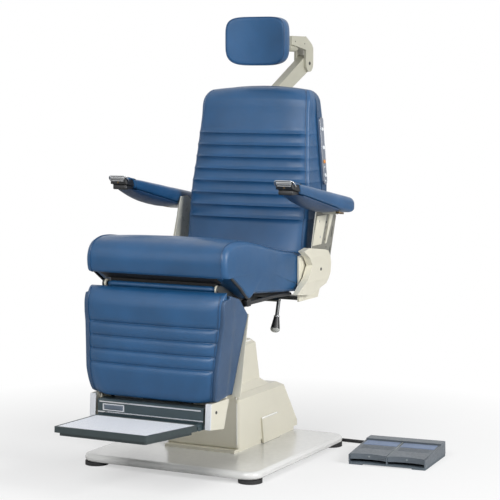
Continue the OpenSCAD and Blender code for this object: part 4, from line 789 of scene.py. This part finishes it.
def arm_pin(v):
    return max(1 - smooth(-60, -30, v.y), 1 - smooth(5, 16, v.z - arm_seam(min(v.y, ARM_HINGE_Y))),
               smooth(arm_end - 40, arm_end - 20, v.y))


arm_rows = spread((arm_start, arm_start + 12, 1.5), (arm_start + 12, -83, 6), (-83, -58, 2),
                  (-58, arm_end - 40, 7), (arm_end - 40, arm_end, 2.2))
arms = [cushion("arm_top_" + word, [arm_ring(y, side) for y in arm_rows], "arm_" + word, arm_pin, 2.0,
                "arm_pad_" + word, 0.85) for side, word in SIDES]

fill_all()


# Sewing: channels, creases and small puckers go in after the filling

def sew(c, seams, pitch, place, depth, edge, seed):
    """Sews channels across a pad. place turns a height into a distance from the first seam."""
    me = c["ob"].data
    for i, v in enumerate(me.vertices[:c["rows"] * c["ring"]]):
        px, py = pad_section[i % c["ring"]]
        x, y, z = v.co / MM
        k = place(z) / pitch
        near = min(seams - 1, max(0, round(k)))
        u = abs(k - near)
        dip = (1 - 2 * u) ** 3.0 if u < 0.5 else 0.0
        fore = max(0.0, -py)
        inside = 1 - smooth(edge - 0.07, edge, abs(px))
        pucker = noise.noise(Vector((x / 6.5, near * 7.3 + seed, 0))) * exp(-u * pitch / 5.0) * 0.7
        crease = exp(-(u * pitch / 1.5) ** 2) * 1.8 if u < 0.5 else 0
        notch = dip * 1.6 * (1 - inside) * smooth(0.75, 0.98, abs(px))
        slow = wrinkle((x, y, z - c["foot"]), 0.012, seed) * 0.7
        d = (dip * depth + crease + pucker) * inside * smooth(0.3, 0.75, fore) + notch - slow * fore
        v.co -= c["normals"][i] * d * MM
    me.update()


def above(c, i, lift):
    """Point of a cushion's surface, lifted off it."""
    return (c["ob"].data.vertices[i].co + c["normals"][i] * lift * MM) / MM


back["foot"], leg["foot"] = BACK_Z, LEG_Z
sew(back, BACK_SEAMS, BACK_PITCH, lambda z: z - BACK_Z - BACK_FIRST, 7.4, 0.95, 3.0)
sew(leg, LEG_SEAMS, LEG_PITCH, lambda z: LEG_H - (z - LEG_Z) - LEG_FIRST, 7.2, 0.96, 11.0)
for c in (seat, head, *arms):
    for i, v in enumerate(c["ob"].data.vertices):
        v.co += c["normals"][i] * MM * (1 - c["pins"][i]) * 0.6 * wrinkle(v.co / MM, 0.014, 5.0)
    c["ob"].data.update()

for c in cushions:
    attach(c["ob"], c["body"])
    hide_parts(c["node"])


# Piping and stitches

STITCH_R, STITCH_STEP, STITCH_SHARE = 0.42, 3.4, 0.62


def stitches(name, pts, body):
    """Row of short thread stitches that follows a path."""
    verts, faces = [], []
    run = 0.0
    up = Vector((0, -1, 0))
    for start, end in zip(pts, pts[1:]):
        length = (end - start).length
        d = (end - start).normalized()
        while run < length:
            a = start + (end - start) * (run / length)
            b = a + d * STITCH_STEP * STITCH_SHARE
            high = up * STITCH_R * 0.5
            arch = [a - up * 0.4, a + d * 0.5 + high, b - d * 0.5 + high, b - up * 0.4]
            v, f = skin(tube(arch, STITCH_R, 6))
            faces += [tuple(i + len(verts) for i in face) for face in f]
            verts += v
            run += STITCH_STEP
        run -= length
    piece(name, (verts, faces), THREAD, body)


def row_points(c, z):
    """Points across the front of a sewn cushion at one height."""
    me = c["ob"].data
    best = min(range(c["rows"]), key=lambda k: abs(me.vertices[k * c["ring"] + 36].co.z / MM - z))
    first = best * c["ring"]
    return [above(c, first + i, 0.5) for i, (x, y) in enumerate(pad_section) if y < 0 and abs(x) < 0.9]


def column_at(x):
    """Index of the pads' section, on its front, that is nearest to a share of the half width."""
    front = [i for i, p in enumerate(pad_section) if p[1] <= 0]
    return min(front, key=lambda i: abs(pad_section[i][0] - x))


def welt(name, c, points, r, lift):
    tube_piece(name, [above(c, i, lift) for i in points], r, PIPING, c["body"])


for side, word in SIDES:
    column = column_at(side * 0.955)
    welt("back_welt_" + word, back, [k * back["ring"] + column for k in range(3, back["rows"] - 3)], 1.9, 0.5)
    welt("leg_welt_" + word, leg, [k * leg["ring"] + column for k in range(3, leg["rows"] - 4)], 1.6, 0.4)
for word, station in (("left", 47), ("right", 15)):
    welt("seat_welt_" + word, seat, [station * seat["ring"] + i for i in range(2, 97)], 1.6, 0.9)


# Cheeks of the leg rest, behind its front pad

CHEEK_LINE = [(-301, 261.5), (-246.5, 512.2), (-301, 565), (-371, 583)]
CHEEK_MID, CHEEK_INNER, CHEEK_ROUND = Vector((-330, 420)), 207.4, 4


def rounded(corners, r, n=5):
    """Outline with its corners rounded."""
    out = []
    m = len(corners)
    for i in range(m):
        a, b, c = (Vector(corners[(i + k) % m]) for k in (-1, 0, 1))
        u, v = (a - b), (c - b)
        k = min(r, 0.4 * u.length, 0.4 * v.length)
        p, q = b + u.normalized() * k, b + v.normalized() * k
        for s in range(n + 1):
            t = s / n
            out.append((1 - t) ** 2 * p + 2 * t * (1 - t) * b + t * t * q)
    return out


def dense(outline, step):
    out = []
    for i, a in enumerate(outline):
        b = outline[(i + 1) % len(outline)]
        n = max(1, round((b - a).length / step))
        out += [a + (b - a) * (s / n) for s in range(n)]
    return out


def cheek(side):
    edge = [Vector((leg_front(h) + 7 + 22 * leg_corner(h) + 38 * quarter(leg_high(h)), LEG_Z + h))
            for h in range(322, 4, -8)]
    line = dense(rounded(CHEEK_LINE, 9) + edge[1:] + [Vector((edge[-1].x + 12, 260.5))], 6)

    def outer(y, z):
        t = smooth(-362, -322, y)
        return (1 - t) * (leg_half(z - LEG_Z) + 0.9) + t * (244 - 0.113 * max(0, 511.2 - z))

    def ring(inset, size, out):
        pts = []
        for q in line:
            d = q - CHEEK_MID
            w = CHEEK_MID + d * (1 - inset / d.length) * size
            pts.append((side * (outer(w.x, w.y) + out), w.x, w.y))
        return pts

    rings = [[(side * CHEEK_INNER, *(CHEEK_MID + (q - CHEEK_MID) * k)) for q in line] for k in (0.05, 0.5, 1)]
    rings += [ring(CHEEK_ROUND * u, 1, -CHEEK_ROUND * w - 0.2) for u, w in rounding(6)]
    shares = [1 - i / 24.8 for i in range(1, 25)]
    return skin(rings + [ring(CHEEK_ROUND, k, 1.4 * (1 - k * k)) for k in shares])


for side, word in SIDES:
    ob = piece("leg_cheek_" + word, cheek(side), VINYL_SIDE, "leg")
    if word == "left":
        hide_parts("leg_side_panels")

# Boat-shaped covers under the arms: share of the arm's length, depth of the belly, share of the width

COVER_ROWS = [(0, 4, 0.66), (0.02, 8, 0.82), (0.06, 14, 0.93), (0.13, 21, 0.99), (0.24, 25, 1), (0.38, 24, 1),
              (0.5, 20, 0.99), (0.59, 13, 0.95), (0.645, 7, 0.88), (0.664, 3, 0.8)]
cover_section = superellipse(2.6, 26, 12, 16)


def cover_form(side):
    rings = []
    for along, belly, width in route([(a * ARM_L, b, c * 100) for a, b, c in COVER_ROWS], 7):
        y = ARM_FRONT + 40 + along
        ring = []
        for px, py in cover_section:
            below = max(0.0, -py)
            fold = 0.5 * wrinkle((px * 30, y, below * 30), 0.03, 8.0) * below
            ring.append((side * ARM_MID + px * (ARM_W / 2 - 0.4) * width / 100 * (1 - 0.42 * below ** 1.6), y,
                         arm_seam(y) - 0.4 - max(0, 1 - abs(py)) * 0.5 - below * belly + fold))
        rings.append(ring)
    return skin(rings)


for side, word in SIDES:
    ob = piece("arm_boat_" + word, cover_form(side), VINYL_DARK, "arm_" + word)
    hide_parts("arm_cover_" + word)
    for place, x in (("outer", ARM_X + 69.6), ("inner", ARM_X + 2.4)):
        seam = [(side * x, y, arm_seam(y) + 0.1) for y in range(-50, 232, 6)]
        tube_piece(f"arm_seam_{place}_{word}", seam, 1.5, PIPING, "arm_" + word, 8)

# Stitches along the channels, and the piping of the headrest

for k in range(BACK_SEAMS):
    stitches(f"back_stitch_{k + 1}", row_points(back, BACK_Z + BACK_FIRST + k * BACK_PITCH), "back")
for k in range(LEG_SEAMS):
    stitches(f"leg_stitch_{k + 1}", row_points(leg, LEG_Z + LEG_H - LEG_FIRST - k * LEG_PITCH), "leg")
tube_piece("headrest_welt", head_layer(1, 3.2, 0.4), 1.9, PIPING, "headrest", closed=True)


# Small parts

def plate(name, outline, place, t, material, body, bevel=0.6, r=0.0, slot=None):
    """Plate with one rounded face. place turns (u, v, height) into a point of the part's frame."""
    pts = rounded(outline, r) if r else [Vector(p) for p in outline]
    mid = sum(pts, Vector((0, 0))) / len(pts)
    size = sum((p - mid).length for p in pts) / len(pts)
    layers = [(0.02, 0), (1, 0)]
    layers += [(1 - bevel * u / size, t - bevel * w) for u, w in rounding(3)]
    layers += [((1 - bevel / size) * share, t) for share in (0.6, 0.02)]
    rings = [[place(*(mid + (p - mid) * k), height) for p in pts] for k, height in layers]
    return piece(name, skin(rings), material, body, slot)


def rect(u0, u1, v0, v1):
    return [(u0, v0), (u1, v0), (u1, v1), (u0, v1)]


def facing_front(y):
    """Place of a plate drawn in (x, z) that looks forward."""
    return lambda u, v, w: (u, y - w, v)


def facing_side(side, x):
    """Place of a plate drawn in (y, z) that looks to one side."""
    return lambda u, v, w: (side * (x + w), u, v)


def socket_screw(name, centre, axis, r, body, dark=False):
    """Screw head with a socket, let a little into the surface; the black plug in its socket is painted shade
    of the hole.
    """
    piece(name, screw(centre, axis, r), BLACK if dark else STEEL, body)
    c = Vector(centre) + Vector(axis).normalized() * r * 0.05
    # Black plug in the socket: painted shade of the hole
    hole = [(0.01, 0.1), (r * 0.42, 0.1), (r * 0.45, 0.0), (r * 0.45, -0.6), (0.01, -0.7)]
    piece(name + "_socket", lathe(hole, c, axis, 6), BLACK, body)


# Arm ends: bright bezel round the cap's face, a bar and a screw, and a dark block under it

BEZEL_HALF = [(35.4, -104, 900), (35.6, -109, 904), (34.6, -114, 909.5), (31, -118.2, 914.6),
              (24, -119.6, 916.8)]
BEZEL = ([(ARM_MID + x, y, z) for x, y, z in BEZEL_HALF] + [(ARM_MID, -119.9, ARM_Z)]
         + [(ARM_MID - x, y, z) for x, y, z in BEZEL_HALF[::-1]])
PAD_JOINT = [(268.2, -57.5, 869.5), (268.2, -57.5, 886), (268.2, -60, 900)]


def cap_rect(side, half, v0, v1):
    return across(side, rect(ARM_MID - half, ARM_MID + half, v0, v1))


for side, word in SIDES:
    arm = "arm_" + word
    tube_piece("cap_bezel_" + word, route(across(side, BEZEL), 5), 1.7, CHROME, arm)
    face, bar = cap_rect(side, 27, 905.5, 913.5), cap_rect(side, 23, 899.4, 902.6)
    plate("cap_face_" + word, face, facing_front(-118.6), 1.3, CHROME, arm, 0.6, 3)
    plate("cap_bar_" + word, bar, facing_front(-118.2), 1.2, CHROME, arm, 0.6, 1.4)
    piece("cap_screw_" + word, screw((side * ARM_MID, -116.2, 896), (0, -0.88, -0.47), 3.6), BRASS, arm)
    block = cap_rect(side, 26, -108, -54)
    plate("cap_block_" + word, block, lambda u, v, w: (u, v, 891 - w), 19, BLACK, arm, 3, 7)
    plate("tail_plate_" + word, across(side, rect(320, 335, 230, 268)),
          lambda u, v, w: (u, v, 799 - 0.16 * (v - 230) - w), 6, BRASS, arm, 1.2, 4)
    tube_piece("pad_joint_" + word, across(side, PAD_JOINT), 1.0, PIPING_DARK, arm, 8)

# Switch strip: two small lamps and the strip's rim

PANEL_LEAN = radians(4.47)
PANEL_OUT = (cos(PANEL_LEAN), sin(PANEL_LEAN))
PANEL_UP = (-PANEL_OUT[1], PANEL_OUT[0])
PANEL_X, PANEL_Y, PANEL_Z = 226, 346, 877.96
RIM_MID, RIM_HALF, RIM_R = 113, 99, 13.2
LAMP = [(0.01, -1), (3.1, -1), (3.2, 0.5), (2.6, 1.0), (2.1, 0.7), (1.6, 1.2), (0.01, 1.5)]


def on_panel(out, y, s):
    """Point above the switch strip's face, s along it from its foot."""
    return (PANEL_X + out * PANEL_OUT[0] + s * PANEL_UP[0], PANEL_Y + y,
            PANEL_Z + out * PANEL_OUT[1] + s * PANEL_UP[1])


for i, s in enumerate((59, 12)):
    axis = (PANEL_OUT[0], 0, PANEL_OUT[1])
    piece(f"panel_lamp_{i + 1}", lathe(LAMP, on_panel(6, 0, s), axis, 20), WHITE, "back")
rim = [on_panel(5.7, RIM_R * c, RIM_MID + copysign(RIM_HALF, s) + RIM_R * s) for c, s in circle(40, 0.5)]
tube_piece("panel_rim", rim, 0.9, STEEL, "back", 8, "panel_metal", closed=True)

# Arm brackets and hinge covers: screws (x, y, z, dark) and slots (y, z, height), the slots drawn as black
# plates that are painted shade of the openings

BRACKET_SCREWS = [(265.2, 225.4, 764, False), (265.2, 231, 712, False), (262.2, 286, 757, True),
                  (262.2, 277, 700, True)]
BLADE_SLOTS, SLOT_HALF, SLOT_LEAN = [(329, 722, 34), (312, 660, 24)], 2.4, 0.3
KNOB = [(0.01, -3), (4.2, -3), (4.6, 1), (4.2, 4.5), (3.0, 6), (0.01, 6.4)]
for side, word in SIDES:
    for i, (x, y, z, dark) in enumerate(BRACKET_SCREWS):
        socket_screw(f"bracket_screw_{word}_{i + 1}", (side * x, y, z), (side, 0, 0), 3.6, "seat", dark)
    # Each slot is a thin black plate on the bracket: painted shade of the opening
    for i, (y, z, h) in enumerate(BLADE_SLOTS):
        lean, half = SLOT_LEAN * h / 2, h / 2
        slot = [(y - SLOT_HALF + lean, z + half), (y + SLOT_HALF + lean, z + half),
                (y + SLOT_HALF - lean, z - half), (y - SLOT_HALF - lean, z - half)]
        plate(f"blade_slot_shade_{word}_{i + 1}", slot, facing_side(side, 261.7), 0.7, BLACK, "seat", 0.3)
    socket_screw("cover_screw_" + word, (side * 285.1, 195.6, 610), (side, 0, 0), 5.4, "seat", True)
    piece("cover_knob_" + word, lathe(KNOB, (side * 272, 275, 626), (0, 1, 0.1), 20), BLACK, "seat")

# Seat: a black band under its front, which is painted shade of the lip's underside, the rails below its side
# panels, and the roll over the knee hinge

LIP = [(-395, 641.5), (-389, 637), (-381, 632), (-366, 624.6), (-352, 617.8), (-350, 616.5)]
LIP_HALF, LIP_STEPS, RAIL_X = 203, 32, 238
KNEE_Y, KNEE_Z, KNEE_HALF, KNEE_R = -357, 596.2, 189, 10.0
SIDE_RAIL = [(RAIL_X, -240, 545), (RAIL_X, -150, 545.5), (RAIL_X, -40, 545), (RAIL_X, 60, 540.5)]
# Black band on the underside of the front lip: painted shade
strip = []
for i in range(LIP_STEPS + 1):
    x = -LIP_HALF + 2 * LIP_HALF * i / LIP_STEPS
    strip.append([(x, y + 1.2, z - 2.4) for y, z in LIP] + [(x, y + 3.6, z + 2.6) for y, z in LIP[::-1]])
piece("seat_lip_shade", skin(strip), BLACK_SATIN, "seat")
for side, word in SIDES:
    edge = [(side * 243, y, seat_side(y) + 0.5) for y in range(-376, -240, 6)]
    tube_piece("side_edging_" + word, edge, 4.8, BLACK, "seat")
    tube_piece("side_rail_" + word, route(across(side, SIDE_RAIL), 8), 5.5, BLACK, "seat", 14)
    plate("rail_block_" + word, rect(-259, -233, 536, 557), facing_side(side, 226), 22, BLACK, "seat", 2.5, 5)
knee = [(x, KNEE_Y, KNEE_Z) for x in range(-KNEE_HALF, KNEE_HALF + 1, 14)]
roll = tube_piece("knee_roll", knee, KNEE_R, VINYL, "leg", 28,
                  taper=lambda t: 1 - 0.25 * (1 - min(1, min(t, 1 - t) * 24)) ** 2)

# Leg rest: boxed feet beside the foot box with bright front flanges, whose bluish white paint is painted
# highlight, and what sits on the box

SHOE = [(-429, 259), (-318, 259), (-350, 170), (-435, 180)]
SHOE_FLANGE, FLANGE_LEAN = [(194.6, 259), (214.4, 259), (214.4, 180), (194.6, 180)], 0.076
RAIL_Y, RAIL_Z, SLEEVE_LIP = -374, 249.2, 0.5


def on_flange(u, v, w):
    return (u, -429.5 - (SHOE_FLANGE[0][1] - v) * FLANGE_LEAN - w + 2, v)


def sleeve(name, x0, x1, r, material):
    """Sleeve on the rail above the foot box, with a lip at both ends."""
    w, lip = x1 - x0, r + SLEEVE_LIP
    profile = [(6.0, 0), (r, 0), (lip, 0.6), (lip, 2), (r, 2.6), (r, w - 2.6), (lip, w - 2),
               (lip, w - 0.6), (r, w), (6.0, w)]
    piece(name, lathe(profile, (x0, RAIL_Y, RAIL_Z), (1, 0, 0)), material, "leg", "steel")


# The flanges' bluish white paint is painted highlight
for side, word in SIDES:
    plate("foot_shoe_" + word, SHOE, facing_side(side, 199.2), 15.6, CREAM_PAINT, "leg", 1.4, 4)
    plate("shoe_flange_" + word, across(side, SHOE_FLANGE), on_flange, 4, PALE_AND_HIGHLIGHT_PAINT, "leg", 1.2, 3)
    socket_screw("shoe_screw_" + word, (side * 215.2, -401, 229), (side, 0, 0), 5.2, "leg", True)
sleeve("rail_sleeve_bright", -156, -56, 6.9, PALE_AND_HIGHLIGHT_PAINT)
sleeve("rail_sleeve_steel", -54, 117, 6.6, STEEL_X)
sleeve("rail_ring", 118, 124, 8.4, BRASS)
sleeve("rail_ring_dark", -168, -158, 8.8, BLACK)
sleeve("rail_nut", -186, -170, 8.2, LINK_PAINT)
plate("label_field", rect(-163, -95, 212.4, 227), facing_front(-433.8), 0.7, PLATE, "leg", 0.3, 1.2)
label_line = [(p.x, -434.3, p.y) for p in rounded(rect(-166.6, -91.4, 210.2, 229.2), 3)]
tube_piece("label_rim", label_line, 1.2, PALE_AND_HIGHLIGHT_PAINT, "leg", 8, "steel", closed=True)
for side, word in SIDES:
    socket_screw("box_screw_" + word, (side * 181, -427.5, 242.5), (0, -0.75, 0.66), 2.8, "leg")

# Brake lever's knob: a pale domed end and a ring

LEVER_TIP = radians(16)
LEVER_DOWN = Vector((0, -sin(LEVER_TIP), -cos(LEVER_TIP)))
LEVER_TOP = Vector((226, 2, 526.2))
KNOB_DOME = [(14.0, -1), (15.3, -0.6), (15.6, 1.2), (15.1, 4), (13.4, 7.4), (10.4, 10), (6, 11.8),
             (0.01, 12.4)]
KNOB_RING = [(8.1, -1), (9.4, -1), (9.9, 0.6), (9.4, 2.2), (8.4, 2.2)]
piece("knob_dome", lathe(KNOB_DOME, LEVER_TOP + LEVER_DOWN * 93, LEVER_DOWN, 32), DOME, "lever")
piece("knob_ring", lathe(KNOB_RING, LEVER_TOP + LEVER_DOWN * 52, LEVER_DOWN), CHROME, "lever")

# Headrest: screws of the elbow and of the clevis (place, radius, body)

HEAD_SCREWS = {"elbow_screw": ((23.6, 657.0, 1285.7), 6.5, "head_joint"),
               "elbow_pin": ((23.6, 616, 1354), 2.6, "head_joint"),
               "clamp_pin": ((23.6, 540, 1361), 2.6, "head_joint"),
               "mount_screw": ((24.6, 419, 1176.2), 6.5, "back")}
for side, word in SIDES:
    for name, (place, r, body) in HEAD_SCREWS.items():
        socket_screw(f"{name}_{word}", (side * place[0], *place[1:]), (side, 0, 0), r, body, True)

# Bright bends of the shroud's sheet metal, and the lip over its side cover, as beads whose near-white paint
# is painted highlight: path, radius

BENDS = {"shroud_bend": ([(124.6, -96, 196), (123, -92, 207), (120.2, -80, 213.6), (120.2, 60, 213.8),
                          (120.2, 196, 213.6)], 3.2),
         "shroud_corner": ([(126.2, -97.2, 58), (126.2, -97.2, 130), (126.2, -97.0, 202)], 2.4),
         "tower_bend": ([(78.2, -62, 374.4), (78.2, 20, 374.6), (78.2, 94, 374.4)], 3.2)}


def bend(name, line, r):
    """Bead that runs out at both ends, in near-white paint that is painted highlight."""
    tube_piece(name, line, r, HIGHLIGHT_PAINT, "base", 12,
               taper=lambda t: 1 - 0.5 * max(0, 1 - min(t, 1 - t) * 14) ** 2)


for side, word in SIDES:
    for name, (line, r) in BENDS.items():
        bend(f"{name}_{word}", route(across(side, line), 8), r)
bend("side_cover_lip", [(138.6, y, 123.8) for y in range(54, 172, 9)], 3.6)

# Foot control: bare bands, lamps and the bright middle rib

CONTROL_X, CONTROL_Y, PEDAL_W, PEDAL_GAP = 561, 197, 114, 6
TREAD_Z, TREAD_REAR, TREAD_FALL = 45, 62, 11 / 179
RIB_Z, RIB_REAR, RIB_FALL = 46, 63, 14 / 180
CONTROL_LAMP = [(0.01, -2), (3.0, -2), (3.2, 0.4), (2.5, 1.1), (2.0, 0.8), (0.01, 1.4)]
spin = Matrix.Rotation(CONTROL_TURN, 3, "Z")


def in_control(x, y, z):
    """Point of the foot control, which stands turned on the floor."""
    p = spin @ Vector((x, y, 0))
    return (CONTROL_X + p.x, CONTROL_Y + p.y, z)


def on_tread(u, v, w):
    return in_control(u, v, TREAD_Z - (TREAD_REAR - v) * TREAD_FALL - 0.3 + w)


def on_rib(u, v, w):
    return in_control(u, v, RIB_Z - (RIB_REAR - v) * RIB_FALL - 0.3 + w)


for word, x0 in (("left", -PEDAL_GAP - PEDAL_W), ("right", PEDAL_GAP)):
    x1 = x0 + PEDAL_W
    body = f"pedal_{word}_body"
    plate("pedal_band_" + word, rect(x0, x1, 6, 55), on_tread, 1.1, BAND, body, 0.4, 4)
    for i, y in enumerate((-8, -20, -32)):
        rib = rect(x0 + 4, x1 - 4, y - 1.6, y + 1.6)
        plate(f"pedal_rib_{word}_{i + 1}", rib, on_tread, 0.9, GREY, body, 0.4, 1.2)
    lamp = lathe(CONTROL_LAMP, in_control((x0 + x1) / 2, -103.2, 26), spin @ Vector((0, -1, 0)), 20)
    piece("pedal_lamp_" + word, lamp, LIGHT_GREY, body, "button_white")
plate("control_rib", rect(-1.6, 1.6, -113, 60), on_rib, 0.9, LIGHT_GREY, "base", 0.3)


# Floor, lights and world

def pale_floor():
    """Matt floor that turns plain white for the camera away from the chair."""
    m, t, b = new_material("pale_floor", (0.86, 0.86, 0.86, 1), 0.8, specular=0.2)
    away = node(t, "VectorMath", {0: node(t, "TexCoord", {}, "Object")}, "Value", operation="LENGTH")
    seen = node(t, "LightPath", {}, "Is Camera Ray")
    share = node(t, "Math", {0: ramp(t, away, 0.35, 1.5, 0.5, 1), 1: seen}, operation="MULTIPLY")
    mix = node(t, "MixShader", {0: share, 1: b.outputs[0], 2: node(t, "Emission", {"Strength": 1.0})})
    t.links.new(mix, t.nodes["Material Output"].inputs["Surface"])
    return m


FLOOR_HALF = 30
me = bpy.data.meshes.new("floor")
corners = [(x, y, 0) for x, y in rect(-FLOOR_HALF, FLOOR_HALF, -FLOOR_HALF, FLOOR_HALF)]
me.from_pydata(corners, [], [(0, 1, 2, 3)])
floor = link("floor", me)
me.materials.append(pale_floor())
floor.location.z = -0.0005


def area(name, place, target, size, power):
    d = bpy.data.lights.new(name, "AREA")
    d.energy = power
    d.size = size
    o = link(name, d)
    o.location = place
    o.rotation_euler = (Vector(target) - Vector(place)).to_track_quat("-Z", "Y").to_euler()


area("key", (4.6, -0.9, 2.4), (0, 0, 0.6), 1.8, 182)
area("fill", (0.0, -4.8, 3.6), (0, 0, 0.7), 2.2, 150)
area("top", (0.4, 0.2, 4.0), (0, 0, 0.7), 1.6, 12)

# White to the camera and in reflections, and dim as a light
world = bpy.context.scene.world or bpy.data.worlds.new("studio")
bpy.context.scene.world = world
world.use_nodes = True
t = world.node_tree
t.nodes.clear()
rays = t.nodes.new("ShaderNodeLightPath").outputs
seen = rays["Is Camera Ray"]
for kind in ("Is Glossy Ray", "Is Transmission Ray"):
    seen = node(t, "Math", {0: seen, 1: rays[kind]}, operation="MAXIMUM")
dim = node(t, "Background", {"Color": (0.98, 0.99, 1.0, 1), "Strength": 0.22})
white = node(t, "Background", {"Color": (1, 1, 1, 1), "Strength": 1.0})
out = t.nodes.new("ShaderNodeOutputWorld")
t.links.new(node(t, "MixShader", {0: seen, 1: dim, 2: white}), out.inputs["Surface"])
bpy.context.scene.view_settings.view_transform = "Standard"
